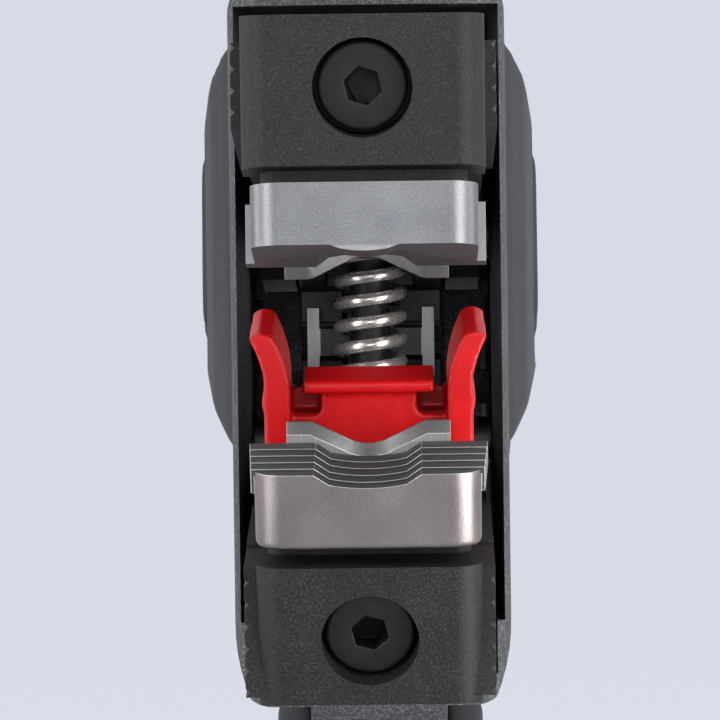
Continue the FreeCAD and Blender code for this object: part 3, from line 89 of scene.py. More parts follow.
# Each lamp's place from the nose and its width and height, in metres, and its share of the lamp power.
LAMPS = {
    "left lamp": ((-0.24, -0.19, 0.1), (0.13, 0.36), 1.0),
    "right lamp": ((0.22, -0.21, 0.1), (0.2, 0.36), 1.4),
    "left rim lamp": ((-0.28, 0.05, 0.1), (0.1, 0.36), 0.45),
    "right rim lamp": ((0.28, 0.05, 0.1), (0.1, 0.36), 0.3),
    "front lamp": ((0.0, -0.8, 0.085), (0.3, 0.3), 1.3),
    "low right lamp": ((0.1, -0.048, -0.068), (0.1, 0.04), 0.15),
    "low left lamp": ((-0.1, -0.048, -0.068), (0.1, 0.04), 0.04),
    "top lamp": ((0.0, 0.1, 0.9), (0.9, 0.9), 4.0),
}


def linear(code):
    """An sRGB hex code as linear red, green, blue and alpha: each channel undoes the sRGB curve."""
    channels = [int(code[start:start + 2], 16) / 255 for start in (1, 3, 5)]
    curve = [c / 12.92 if c <= 0.04045 else ((c + 0.055) / 1.055) ** 2.4 for c in channels]
    return (*curve, 1.0)


def colour(label, description, code):
    """A colour that a user would change, from an sRGB hex code."""
    return bpy.props.FloatVectorProperty(
        name=label, description=description, default=linear(code), size=4, min=0.0, max=1.0,
        subtype="COLOR")


def length(label, description, millimetres):
    """A length that a user would change, from millimetres."""
    return bpy.props.FloatProperty(
        name=label, description=description, default=millimetres * MM, unit="LENGTH")


def angle(label, description, degrees):
    """An angle that a user would change, from degrees."""
    return bpy.props.FloatProperty(
        name=label, description=description, default=math.radians(degrees), subtype="ANGLE")


class StripperFinish(bpy.types.PropertyGroup):
    """Colours of the finishes."""

    housing_black: colour("Housing black", "Moulded glass-filled nylon of the shell", "#3b3c3d")
    jaw_black: colour("Jaw black", "Moulded glass-filled nylon of the jaws", "#171615")
    grip_grey: colour("Grip grey", "Soft elastomer of the pads", "#232326")
    stop_red: colour("Stop red", "Moulded acetal of the length stop and dial", "#9e0b0f")
    blasted_grey: colour("Upper clamp grey", "Bead-blasted steel of the upper clamp", "#78797b")
    # The lower clamp's grey is the steel, tinted warm as a painted reflection from below.
    lower_reflection_grey: colour("Lower clamp grey", "Bead-blasted steel of the lower clamp", "#857d7a")
    # Sintered grey: dark steel of the gripping faces, darkened further as painted shade and tinted blue-green
    # to cancel the stop's red bounce light.
    sintered_shade_grey: colour("Sintered grey", "Dark sintered steel of the gripping faces", "#232728")
    # Worn grey: bright steel for a clamp's eased edges, partly wear and partly a painted highlight.
    wear_and_glint_grey: colour("Worn grey", "Bright steel where a clamp's edge is worn", "#979795")
    ground_grey: colour("Ground grey", "Ground tool steel of the blades", "#9a9795")
    pin_grey: colour("Pin grey", "Ground steel of the pins", "#6f6e6d")
    # The draw bar's posts are painted lighter as a highlight.
    post_highlight_grey: colour("Post highlight grey", "Zinc plate where the draw bar's posts are rubbed", "#777876")
    carrier_grey: colour("Carrier grey", "Black zinc plate of the carriers and the draw bar", "#3f3f40")
    wire_grey: colour("Spring grey", "Drawn stainless spring wire", "#c2bab6")
    oxide_black: colour("Oxide black", "Black-oxide steel of the screws", "#111112")


class StripperSizes(bpy.types.PropertyGroup):
    """Sizes of the pieces that are made here."""

    jaw_ease: length("Jaw edges", "Rounding of a jaw's moulded edges", 0.3)
    # A clamp's eased edges take the brighter edge finish, partly wear and partly a painted highlight.
    clamp_ease: length("Clamp edges", "Rounding of a clamp's worn edges", 0.06)
    # The gripping band sets which faces get the painted shade.
    grip_band: length("Gripping band", "Depth of a clamp's dark gripping face", 1.85)
    blade_ease: length("Blade edges", "Rounding of a blade's ground edges", 0.05)
    stop_grid: length("Stop grid", "Fineness of the stop's moulded surface", 0.17)
    metal_ease: length("Metal edges", "Rounding of the other metal pieces' edges", 0.15)
    shell_ease: length("Shell edges", "Rounding of the shell's moulded edges", 0.4)
    pad_grid: length("Pad grid", "Fineness of a soft pad's moulded surface", 0.4)
    rib_height: length("Rib height", "Height of the ribs on the soft pads", 0.35)
    rib_width: length("Rib width", "Width of the ribs on the soft pads", 1.5)
    rib_pitch: length("Rib pitch", "Spacing of the ribs on the soft pads", 3.2)
    recess_depth: length("Recess depth", "Depth of the cover screws' six-lobed recess", 0.6)
    socket_sink: length("Socket depth", "Extra depth of the clamp screws' hexagon sockets", 1.6)
    guide_gap: length("Guide gap", "Clearance of the guide in the jaw spring", 0.35)
    inner_wall: length("Inner wall", "The housing walls' inner faces, from the tool's middle", 10.4)
    wall_rib_depth: length("Wall rib depth", "Reach of the ribs inside the housing", 0.6)
    wall_rib_foot: length("Wall rib foot", "Height at which the ribs inside the housing start", 64.0)
    wall_rib_top: length("Wall rib top", "Height at which the ribs inside the housing end", 74.0)
    dial_gap: length("Dial gap", "Room around the dial's axle", 0.1)
    dial_notch: length("Dial notch", "Depth of the notches around the dial", 0.45)
    dial_notches: bpy.props.IntProperty(
        name="Dial notches", description="Number of notches around the dial", default=24)
    # The posts beyond this line are painted lighter as a highlight.
    post_inner: length("Post inside", "Inner side of the draw bar's rubbed posts, from the middle", 4.35)
    coil_wire: length("Spring wire", "Thickness of the jaw spring's wire", 1.1)
    coil_pitch: length("Spring pitch", "Rise of the jaw spring in one turn", 1.95)
    end_turns: bpy.props.FloatProperty(
        name="Dead turns", description="Closed turns at each end of the jaw spring", default=1.0)
    spring_keep: bpy.props.FloatProperty(
        name="Spring keep", description="Share of the jaw spring's height that stays at full squeeze",
        default=0.87)


class StripperStage(bpy.types.PropertyGroup):
    """The camera, the backdrop and the lamps."""

    camera_distance: length("Distance", "Camera to the nose", 410.0)
    camera_tilt: angle("Tilt", "How far the camera looks down", 1.8)
    camera_roll: angle("Roll", "How far the camera leans", -0.75)
    camera_pan: angle("Pan", "How far the camera stands to the side", 0.5)
    pixels_per_mm: bpy.props.FloatProperty(
        name="Pixels a millimetre", description="Picture scale at the nose", default=13.0)
    picture_shift: bpy.props.FloatProperty(
        name="Picture shift", description="Pixels from the middle of the picture to the mouth",
        default=6.0)
    backdrop_blue: colour("Backdrop", "Colour of the floor and backdrop", "#dce0eb")
    sky_blue: colour("Sky", "Colour of the even light from all around", "#dfe1e6")
    sky_strength: bpy.props.FloatProperty(
        name="Sky strength", description="Strength of the even light from all around", default=0.36)
    lamp_power: bpy.props.FloatProperty(
        name="Lamp power", description="Power of the left lamp", default=1.1, unit="POWER")


def add_node(tree, kind, settings=None, **sockets):
    """Add a shader node. Settings are its options, and stops are the positions and colours of a ramp.

    A socket goes by its name, with _ for a space, or by i and its number. It takes a value, an output of
    another node, or a node, which stands for its first output.
    """
    node = tree.nodes.new(kind)
    options = dict(settings or {})
    stops = options.pop("stops", ())
    for _ in stops[2:]:
        node.color_ramp.elements.new(1.0)
    for number, (position, tint) in enumerate(stops):
        node.color_ramp.elements[number].position = position
        node.color_ramp.elements[number].color = tint
    for option, value in options.items():
        setattr(node, option, value)
    for label, value in sockets.items():
        socket = node.inputs[int(label[1:]) if label[1:].isdigit() else label.replace("_", " ")]
        if isinstance(value, bpy.types.Node):
            value = value.outputs[0]
        if isinstance(value, bpy.types.NodeSocket):
            tree.links.new(value, socket)
        else:
            socket.default_value = value
    return node


def new_material(name):
    """An empty node material and its Object coordinates."""
    material = bpy.data.materials.new(name)
    material.use_nodes = True
    tree = material.node_tree
    tree.nodes.clear()
    place = add_node(tree, "ShaderNodeTexCoord").outputs["Object"]
    return material, tree, place


def close_material(tree, shader):
    """Join the shader to the material's output."""
    add_node(tree, "ShaderNodeOutputMaterial", Surface=shader)


def shade(tint, share):
    """A linear colour made darker or lighter by a share."""
    return (*[min(1.0, channel * share) for channel in tint[:3]], 1.0)


def grey(level):
    """A plain grey of a level."""
    return (level, level, level, 1.0)


MULTIPLY = {"data_type": "RGBA", "blend_type": "MULTIPLY"}


def glass_filled_nylon(name, base, grain_mm, roughness):
    """Glass-filled nylon from a spark-eroded mould: near black and matt, with pale and dark grains."""
    material, tree, place = new_material(name)
    grain = add_node(tree, "ShaderNodeTexNoise", Vector=place, Scale=1 / (grain_mm * MM), Detail=2.0)
    specks = [(0.34, shade(base, 0.5)), (0.52, base), (0.72, shade(base, 2.8))]
    speck = add_node(tree, "ShaderNodeValToRGB", {"stops": specks}, Fac=grain)
    cloud = add_node(tree, "ShaderNodeTexNoise", Vector=place, Scale=1 / (6.0 * MM), Detail=2.0)
    tones = [(0.35, grey(0.85)), (0.7, grey(1.1))]
    tone = add_node(tree, "ShaderNodeValToRGB", {"stops": tones}, Fac=cloud)
    mixed = add_node(tree, "ShaderNodeMix", MULTIPLY, Factor=1.0, i6=speck, i7=tone)
    gloss = [(0.3, grey(roughness - 0.07)), (0.7, grey(roughness + 0.1))]
    dull = add_node(tree, "ShaderNodeValToRGB", {"stops": gloss}, Fac=grain)
    bump = add_node(tree, "ShaderNodeBump", Height=grain, Strength=0.45, Distance=0.05 * MM)
    shader = add_node(tree, "ShaderNodeBsdfPrincipled", Base_Color=mixed.outputs[2], Roughness=dull,
                      IOR=1.52, Specular_IOR_Level=0.2, Normal=bump)
    close_material(tree, shader)
    return material


def soft_elastomer(name, base):
    """Thermoplastic elastomer moulded over the shell: dull, with a fine pebble and a faint sheen."""
    material, tree, place = new_material(name)
    pebble = add_node(tree, "ShaderNodeTexVoronoi", {"feature": "SMOOTH_F1"}, Vector=place,
                      Scale=1 / (0.45 * MM))
    cloud = add_node(tree, "ShaderNodeTexNoise", Vector=place, Scale=1 / (9.0 * MM), Detail=3.0)
    tones = [(0.3, shade(base, 0.85)), (0.7, shade(base, 1.15))]
    tone = add_node(tree, "ShaderNodeValToRGB", {"stops": tones}, Fac=cloud)
    gloss = [(0.3, grey(0.62)), (0.7, grey(0.78))]
    dull = add_node(tree, "ShaderNodeValToRGB", {"stops": gloss}, Fac=cloud)
    bump = add_node(tree, "ShaderNodeBump", Height=pebble, Strength=0.3, Distance=0.06 * MM)
    shader = add_node(tree, "ShaderNodeBsdfPrincipled", Base_Color=tone, Roughness=dull, IOR=1.5,
                      Specular_IOR_Level=0.25, Sheen_Weight=0.05, Normal=bump)
    close_material(tree, shader)
    return material


def blasted_steel(name, base, grain_mm, metallic, roughness):
    """Bead-blasted or sintered steel: an even satin grey that glitters in tiny dents."""
    material, tree, place = new_material(name)
    dents = add_node(tree, "ShaderNodeTexVoronoi", {"feature": "SMOOTH_F1"}, Vector=place,
                     Scale=1 / (grain_mm * MM))
    fine = add_node(tree, "ShaderNodeTexNoise", Vector=place, Scale=1 / (grain_mm * MM), Detail=2.0)
    cloud = add_node(tree, "ShaderNodeTexNoise", Vector=place, Scale=1 / (4.0 * MM), Detail=3.0)
    specks = [(0.3, shade(base, 0.84)), (0.72, shade(base, 1.13))]
    speck = add_node(tree, "ShaderNodeValToRGB", {"stops": specks}, Fac=fine)
    tones = [(0.3, grey(0.93)), (0.7, grey(1.05))]
    tone = add_node(tree, "ShaderNodeValToRGB", {"stops": tones}, Fac=cloud)
    mixed = add_node(tree, "ShaderNodeMix", MULTIPLY, Factor=1.0, i6=speck, i7=tone)
    gloss = [(0.3, grey(roughness - 0.05)), (0.7, grey(roughness + 0.05))]
    dull = add_node(tree, "ShaderNodeValToRGB", {"stops": gloss}, Fac=cloud)
    bump = add_node(tree, "ShaderNodeBump", Height=dents, Strength=0.45, Distance=0.02 * MM)
    shader = add_node(tree, "ShaderNodeBsdfPrincipled", Base_Color=mixed.outputs[2], Metallic=metallic,
                      Roughness=dull, Normal=bump)
    close_material(tree, shader)
    return material


def lined_steel(name, base, line_mm, roughness, turn):
    """Ground or plated steel: bright, with fine parallel lines that are drawn coarse enough to show."""
    material, tree, place = new_material(name)
    stretch = add_node(tree, "ShaderNodeMapping", Vector=place, Rotation=turn, Scale=(1.0, 1.0, 0.04))
    lines = add_node(tree, "ShaderNodeTexNoise", Vector=stretch, Scale=1 / (line_mm * MM), Detail=2.0)
    cloud = add_node(tree, "ShaderNodeTexNoise", Vector=place, Scale=1 / (3.0 * MM), Detail=3.0)
    streaks = [(0.3, shade(base, 0.88)), (0.7, shade(base, 1.08))]
    streak = add_node(tree, "ShaderNodeValToRGB", {"stops": streaks}, Fac=lines)
    tones = [(0.3, grey(0.93)), (0.7, grey(1.04))]
    tone = add_node(tree, "ShaderNodeValToRGB", {"stops": tones}, Fac=cloud)
    mixed = add_node(tree, "ShaderNodeMix", MULTIPLY, Factor=1.0, i6=streak, i7=tone)
    gloss = [(0.3, grey(roughness - 0.04)), (0.7, grey(roughness + 0.06))]
    dull = add_node(tree, "ShaderNodeValToRGB", {"stops": gloss}, Fac=lines)
    bump = add_node(tree, "ShaderNodeBump", Height=lines, Strength=0.04, Distance=0.01 * MM)
    shader = add_node(tree, "ShaderNodeBsdfPrincipled", Base_Color=mixed.outputs[2], Metallic=1.0,
                      Roughness=dull, Normal=bump)
    close_material(tree, shader)
    return material


def drawn_wire(name, base):
    """Spring wire, drawn through a die and oiled: smooth, with sharp streaks of light along it."""
    material, tree, place = new_material(name)
    cloud = add_node(tree, "ShaderNodeTexNoise", Vector=place, Scale=1 / (1.4 * MM), Detail=2.0)
    tones = [(0.3, shade(base, 0.88)), (0.7, shade(base, 1.06))]
    tone = add_node(tree, "ShaderNodeValToRGB", {"stops": tones}, Fac=cloud)
    gloss = [(0.3, grey(0.22)), (0.7, grey(0.3))]
    dull = add_node(tree, "ShaderNodeValToRGB", {"stops": gloss}, Fac=cloud)
    shader = add_node(tree, "ShaderNodeBsdfPrincipled", Base_Color=tone, Metallic=0.8, Roughness=dull)
    close_material(tree, shader)
    return material


def black_oxide_steel(name, base):
    """Steel blacked in a hot oxide bath: very dark, slightly oily, worn a little lighter in patches."""
    material, tree, place = new_material(name)
    cloud = add_node(tree, "ShaderNodeTexNoise", Vector=place, Scale=1 / (1.2 * MM), Detail=4.0)
    tones = [(0.35, shade(base, 0.85)), (0.7, shade(base, 1.4))]
    tone = add_node(tree, "ShaderNodeValToRGB", {"stops": tones}, Fac=cloud)
    gloss = [(0.3, grey(0.42)), (0.7, grey(0.55))]
    dull = add_node(tree, "ShaderNodeValToRGB", {"stops": gloss}, Fac=cloud)
    bump = add_node(tree, "ShaderNodeBump", Height=cloud, Strength=0.12, Distance=0.02 * MM)
    shader = add_node(tree, "ShaderNodeBsdfPrincipled", Base_Color=tone, Roughness=dull,
                      Specular_IOR_Level=0.18, Normal=bump)
    close_material(tree, shader)
    return material


def glossy_acetal(name, base):
    """Acetal from a polished mould: saturated and glossy, with faint flow marks."""
    material, tree, place = new_material(name)
    flow = add_node(tree, "ShaderNodeTexNoise", Vector=place, Scale=1 / (2.5 * MM), Detail=3.0,
                    Distortion=0.6)
    tones = [(0.3, shade(base, 0.92)), (0.7, shade(base, 1.06))]
    tone = add_node(tree, "ShaderNodeValToRGB", {"stops": tones}, Fac=flow)
    gloss = [(0.3, grey(0.28)), (0.7, grey(0.38))]
    dull = add_node(tree, "ShaderNodeValToRGB", {"stops": gloss}, Fac=flow)
    bump = add_node(tree, "ShaderNodeBump", Height=flow, Strength=0.08, Distance=0.05 * MM)
    shader = add_node(tree, "ShaderNodeBsdfPrincipled", Base_Color=tone, Roughness=dull, IOR=1.48,
                      Specular_IOR_Level=0.2, Subsurface_Weight=0.06,
                      Subsurface_Radius=(0.8 * MM, 0.2 * MM, 0.15 * MM), Normal=bump)
    close_material(tree, shader)
    return material


def finish_of(name, maker, base, **details):
    """A finish by name, made the first time that it is asked for."""
    return bpy.data.materials.get(name) or maker(name, base, **details)


def jaw_nylon(finish):
    """The nylon of the jaws and of the guide between them."""
    return finish_of("moulded nylon, jaws", glass_filled_nylon, finish.jaw_black,
                     grain_mm=0.15, roughness=0.5)


def shell_nylon(finish):
    """The nylon of the housing and the handle."""
    return finish_of("moulded nylon, shell", glass_filled_nylon, finish.housing_black,
                     grain_mm=0.2, roughness=0.55)


def pad_elastomer(finish):
    """The elastomer of the soft pads."""
    return finish_of("soft elastomer", soft_elastomer, finish.grip_grey)


def body_of(node):
    """The name of the body that a CAD node rides on."""
    return frame["nodes"][node]["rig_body"]


def show_piece(name, mesh, node, material, smooth_degrees=32):
    """Put a finished mesh in the scene: it replaces a CAD node and rides on its body."""
    piece = bpy.data.objects.new(name, mesh)
    bpy.context.scene.collection.objects.link(piece)
    mesh.materials.clear()
    mesh.materials.append(material)
    mesh.polygons.foreach_set("use_smooth", np.ones(len(mesh.polygons), bool))
    mesh.set_sharp_from_angle(angle=math.radians(smooth_degrees))
    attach(piece, body_of(node))
    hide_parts(node)
    return piece


def merged_copy(node, touching=0.002 * MM, flat_degrees=0.6):
    """A copy of a CAD node's mesh, with its loose triangles merged into whole faces."""
    work = bmesh.new()
    work.from_mesh(frame["nodes"][node].data)
    bmesh.ops.remove_doubles(work, verts=work.verts, dist=touching)
    bmesh.ops.dissolve_limit(work, angle_limit=math.radians(flat_degrees), verts=work.verts,
                             edges=work.edges)
    mesh = bpy.data.meshes.new(node + "_eased")
    work.to_mesh(mesh)
    work.free()
    mesh.attributes.remove(mesh.attributes["custom_normal"])
    return mesh


def eased_piece(node, material, width, steps=3, edge_degrees=32):
    """A piece with the CAD node's shape and rounded edges."""
    piece = show_piece(node + "_finish", merged_copy(node), node, material, edge_degrees)
    ease = piece.modifiers.new("eased edges", "BEVEL")
    ease.width = width
    ease.segments = steps
    ease.limit_method = "ANGLE"
    ease.angle_limit = math.radians(edge_degrees)
    ease.harden_normals = True
    ease.use_clamp_overlap = True
    return piece


def moulded_piece(node, material, grid, passes):
    """A piece with the CAD node's shape, laid over with an even grid and smoothed until edges are soft."""
    piece = show_piece(node + "_finish", merged_copy(node), node, material)
    form = piece.modifiers.new("even grid", "REMESH")
    form.mode = "VOXEL"
    form.voxel_size = grid
    form.use_smooth_shade = True
    soften = piece.modifiers.new("soft edges", "SMOOTH")
    soften.factor = 0.5
    soften.iterations = passes
    return piece


def rows_of(items, value):
    """A place or direction of each of a mesh's vertices or faces, as rows of an array."""
    rows = np.empty(len(items) * 3, np.float32)
    items.foreach_get(value, rows)
    return rows.reshape(-1, 3)


def around(count):
    """Even steps of one full turn, without the last, which is the first again."""
    return np.linspace(0, FULL_TURN, count, endpoint=False)


def points_of(across, along, up):
    """A grid of points from their three coordinates, each of which may be a row, a column or a number."""
    return np.stack(np.broadcast_arrays(across, along, up), axis=-1)


def grid_mesh(name, grids, closed=False, capped=False):
    """One mesh from grids of points: rows of four-cornered faces, closed around each row where asked."""
    faces, first = [], 0
    for points in grids:
        rows, columns = points.shape[:2]
        index = first + np.arange(rows * columns).reshape(rows, columns)
        beside = np.roll(index, -1, axis=1) if closed else index[:, 1:]
        near = index if closed else index[:, :-1]
        faces += np.stack([near[:-1], beside[:-1], beside[1:], near[1:]], axis=-1).reshape(-1, 4).tolist()
        if capped:
            faces += [index[0][::-1].tolist(), index[-1].tolist()]
        first += rows * columns
    mesh = bpy.data.meshes.new(name)
    mesh.from_pydata(np.concatenate([points.reshape(-1, 3) for points in grids]).tolist(), [], faces)
    mesh.validate()
    return mesh


def solid_mesh(name, grids, capped=True):
    """A closed mesh from grids that run around: its seams are joined and its faces turned outwards."""
    mesh = grid_mesh(name, grids, closed=True, capped=capped)
    work = bmesh.new()
    work.from_mesh(mesh)
    bmesh.ops.remove_doubles(work, verts=work.verts, dist=0.0001 * MM)
    bmesh.ops.recalc_face_normals(work, faces=work.faces)
    work.to_mesh(mesh)
    work.free()
    return mesh


def wire_rings(path, guide, radius, sides):
    """A round wire along a path: each ring lies across the path, turned by a guide direction."""
    ahead = np.gradient(path, axis=0)
    ahead /= np.linalg.norm(ahead, axis=1, keepdims=True)
    out = guide - (ahead * guide).sum(1, keepdims=True) * ahead
    out /= np.linalg.norm(out, axis=1, keepdims=True)
    across = np.cross(ahead, out)
    turn = around(sides)[None, :, None]
    return path[:, None] + radius * (np.cos(turn) * out[:, None] + np.sin(turn) * across[:, None])


def jaw_spring_mesh(sizes):
    """A compression spring: radius times cosine and sine of the turn, rising slowly in the end turns."""
    low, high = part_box("jaw_spring")
    middle = (low + high) / 2
    wire, ends = sizes.coil_wire, sizes.end_turns
    radius = (high.x - low.x) / 2 - wire / 2
    span = high.z - low.z - wire
    turns = (span - 2 * ends * wire) / sizes.coil_pitch + 2 * ends
    steps_a_turn = 40
    at = np.linspace(0, turns, int(turns * steps_a_turn))
    rise = np.interp(at, [0, ends, turns - ends, turns], [0, ends * wire, span - ends * wire, span])
    turn = FULL_TURN * at
    path = points_of(middle.x + radius * np.cos(turn), middle.y + radius * np.sin(turn),
                     low.z + wire / 2 + rise)
    upwards = np.array([0.0, 0.0, 1.0])
    return solid_mesh("jaw_spring_wire", [wire_rings(path, upwards, wire / 2, sides=18)])


def shade_core_guide_mesh(sizes):
    """The guide inside the jaw spring, in dark nylon that also stands in for the shade inside the coils: a
    circle raised straight from end to end of the spring.
    """
    low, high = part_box("jaw_spring")
    middle = (low + high) / 2
    radius = (high.x - low.x) / 2 - sizes.coil_wire - sizes.guide_gap
    turn = around(48)
    rise = np.linspace(low.z, high.z, 3)[:, None]
    points = points_of(middle.x + radius * np.cos(turn), middle.y + radius * np.sin(turn), rise)
    return solid_mesh("guide_post", [points])


def dial_mesh(sizes):
    """The notched dial: a rounded section turned about the axle, its rim drawn in at even steps.

    A notch is as deep as the square of a cosine, and the notch at the top is twice as deep, as a mark.
    The section runs from the bore up one side, over the rim and back, as shares of the width and radius.
    """
    low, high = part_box("dial")
    middle, half, rim = (low + high) / 2, (high.x - low.x) / 2, (high.z - low.z) / 2
    axle_low, axle_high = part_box("dial_axle")
    bore = ((axle_high.z - axle_low.z) / 2 + sizes.dial_gap) / rim
    across = np.array([-1.0, -1.0, -0.93, -0.8, 0.8, 0.93, 1.0, 1.0, -1.0])[:, None] * half
    share = np.array([bore, 0.92, 0.98, 1.0, 1.0, 0.98, 0.92, bore, bore])[:, None]
    steps_a_notch = 12
    turn = around(sizes.dial_notches * steps_a_notch)
    mark = np.where(np.abs(turn - np.pi / 2) < np.pi / sizes.dial_notches, 2.0, 1.0)
    notch = np.clip(np.cos(sizes.dial_notches * turn), 0, 1) ** 2 * mark
    ring = share * rim - np.where(share > bore, sizes.dial_notch, 0.0) * notch
    points = points_of(middle.x + across, middle.y + ring * np.cos(turn), middle.z + ring * np.sin(turn))
    return solid_mesh("notched_dial", [points], capped=False)


def wall_rib_mesh(side, sizes):
    """A rib inside a housing half: a flat ellipse, half of it sunk in the wall, carried straight up."""
    turn = around(32)
    rise = np.array([sizes.wall_rib_foot, sizes.wall_rib_top])[:, None]
    across = side * sizes.inner_wall + sizes.wall_rib_depth * np.cos(turn)
    return solid_mesh("wall_rib", [points_of(across, 2 * sizes.wall_rib_depth * np.sin(turn), rise)])


def crown_of(mesh, side):
    """The large flat face on one side of a piece: the corners around it and its place across the tool."""
    flat = max((face for face in mesh.polygons if face.normal.x * side > 0.99), key=lambda face: face.area)
    corners = rows_of(mesh.vertices, "co")[list(flat.vertices)].astype(float)
    return corners[:, 1:], corners[0, 0]


def rib_grids(corners, level, side, sizes):
    """Ribs across a flat crown, at even steps along its longest direction.

    A rib's section is half an ellipse. It runs from edge to edge, and the ellipse shrinks with the square
    root of one less the eighth power of the way from its middle to its end.
    """
    middle = corners.mean(0)
    axis = np.linalg.svd(corners - middle)[2][0]
    cross = np.array([-axis[1], axis[0]])
    along, aside = (corners - middle) @ axis, (corners - middle) @ cross
    margin = sizes.rib_pitch
    inset = margin * 0.6
    stations = np.arange(along.min() + margin, along.max() - margin, sizes.rib_pitch)
    run = np.roll(along, -1) - along
    part = (stations[:, None] - along) / np.where(run == 0, 1e-9, run)
    cut = np.where((part >= 0) & (part <= 1), aside + part * (np.roll(aside, -1) - aside), np.nan)
    low, high = np.nanmin(cut, axis=1) + inset, np.nanmax(cut, axis=1) - inset
    way = np.linspace(-1, 1, 25)[:, None]
    turn = around(14)
    size = np.sqrt(1 - 0.96 * way ** 8)
    out = level + side * sizes.rib_height * size * np.sin(turn)
    shift = sizes.rib_width / 2 * size * np.cos(turn)
    grids = []
    for station, start, end in zip(stations, low, high):
        if end - start > margin:
            place = middle + (station + shift)[..., None] * axis
            place = place + ((start + end) / 2 + way * (end - start) / 2)[..., None] * cross
            grids.append(np.concatenate([out[..., None], place], axis=-1))
    return grids


def ribbed_pad(node, material, sizes, sides):
    """A soft piece whose flat crowns are sunk by the ribs' height, and the ribs that stand on them."""
    mesh = moulded_piece(node, material, sizes.pad_grid, passes=12).data
    crowns = [(*crown_of(mesh, side), side) for side in sides]
    places = rows_of(mesh.vertices, "co")
    grids = []
    for corners, level, side in crowns:
        places[np.abs(places[:, 0] - level) < 0.01 * MM, 0] -= side * sizes.rib_height
        grids += rib_grids(corners, level - side * sizes.rib_height, side, sizes)
    mesh.vertices.foreach_set("co", places.ravel())
    show_piece(node + "_ribs", solid_mesh(node + "_ribs", grids), node, material, smooth_degrees=50)


def deepen_socket(mesh, depth):
    """Push the floor of a screw's hexagon socket further in: the face furthest back that looks forward."""
    floor = max((face for face in mesh.polygons if face.normal.y < -0.9), key=lambda face: face.center.y)
    for corner in floor.vertices:
        mesh.vertices[corner].co -= floor.normal * depth


def screw_head_grids(mesh, depth):
    """Round screw heads with a six-lobed recess, on every flat end of the cover screws.

    Each ring's radius is a share of the head's. In the recess it swells and shrinks six times a turn.
    """
    turn = around(72)
    lobes = 1 + 0.15 * np.cos(6 * turn)
    share = np.array([0.05, 0.36, 0.41, 0.45, 0.86, 0.95, 1.0, 1.0])[:, None]
    lobed = np.array([1, 1, 1, 1, 0, 0, 0, 0])[:, None]
    sunk = np.array([1.0, 1.0, 0.12, 0.0, 0.0, 0.15, 0.4, 1.5])[:, None] * depth
    outer = np.abs(rows_of(mesh.polygons, "center")[:, 0]).max() - 0.1 * MM
    ends = [face for face in mesh.polygons if abs(face.center.x) > outer and abs(face.normal.x) > 0.99]
    grids = []
    for face in ends:
        ring = math.sqrt(face.area / math.pi) * share * np.where(lobed == 1, lobes, 1.0)
        across = face.center.x - math.copysign(1.0, face.center.x) * sunk
        grids.append(points_of(
            across, face.center.y + ring * np.cos(turn), face.center.z + ring * np.sin(turn)))
    return grids


def split_across(mesh, places):
    """Split the faces of a mesh where they cross given places along the tool's width."""
    work = bmesh.new()
    work.from_mesh(mesh)
    for place in places:
        pieces = work.verts[:] + work.edges[:] + work.faces[:]
        bmesh.ops.bisect_plane(work, geom=pieces, plane_co=(place, 0.0, 0.0), plane_no=(1.0, 0.0, 0.0))
    work.to_mesh(mesh)
    work.free()


def gripping_faces(mesh, node, band):
    """Which faces of a clamp grip: with its jaw turned shut, those nearest the mouth's middle. They take the
    dark sintered finish, which is darkened further as painted shade.

    The faces that look sideways keep the clamp's own finish, and so do those that look forward on the
    nose and on the upper clamp.
    """
    joint = next(row for row in frame["joints"] if row["child"] == body_of(node))
    side = 1 if node.startswith("upper") else -1
    squarely = 0.8
    centres, normals = rows_of(mesh.polygons, "center"), rows_of(mesh.polygons, "normal")
    turn = math.radians(sum(joint["range_deg"]))
    behind, up = (centres - joint["pos_m"])[:, 1:].T
    height = joint["pos_m"][2] + behind * math.sin(turn) + up * math.cos(turn)
    reach = (height - nose_middle()[2]) * side
    nose = (side > 0) | (centres[:, 1] < centres[:, 1].min() + band)
    forward = (normals[:, 1] < -squarely) & nose
    return (reach < reach.min() + band) & (np.abs(normals[:, 0]) < squarely) & ~forward


def nose_middle():
    """The middle of the mouth at the nose: between the jaw pivots, as far forward as the clamps reach."""
    pivots = [joint["pos_m"] for joint in frame["joints"] if joint["name"].endswith("jaw_close")]
    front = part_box("lower_clamp")[0].y
    return np.array([0.0, front, (pivots[0][2] + pivots[1][2]) / 2])


def sweep_mesh():
    """A floor that bends up into a wall: a flat run, a quarter circle and an upright, carried across."""
    bend = np.linspace(0, np.pi / 2, 24)
    radius, start, reach = 0.8, 3.2, 4.0
    along = np.concatenate([[-reach], start + radius * np.sin(bend), [start + radius]])
    up = np.concatenate([[0.0], radius * (1 - np.cos(bend)), [reach]])
    across = np.linspace(-reach, reach, 3)
    mesh = grid_mesh("sweep", [points_of(across[None, :], along[:, None], up[:, None])])
    mesh.polygons.foreach_set("use_smooth", np.ones(len(mesh.polygons), bool))
    return mesh


def seen_rays(tree):
    """One for rays that show the backdrop directly, mirrored or through glass, and nothing for others."""
    rays = add_node(tree, "ShaderNodeLightPath").outputs
    larger = {"operation": "MAXIMUM"}
    seen = add_node(tree, "ShaderNodeMath", larger, i0=rays["Is Camera Ray"], i1=rays["Is Glossy Ray"])
    return add_node(tree, "ShaderNodeMath", larger, i0=seen, i1=rays["Is Transmission Ray"])


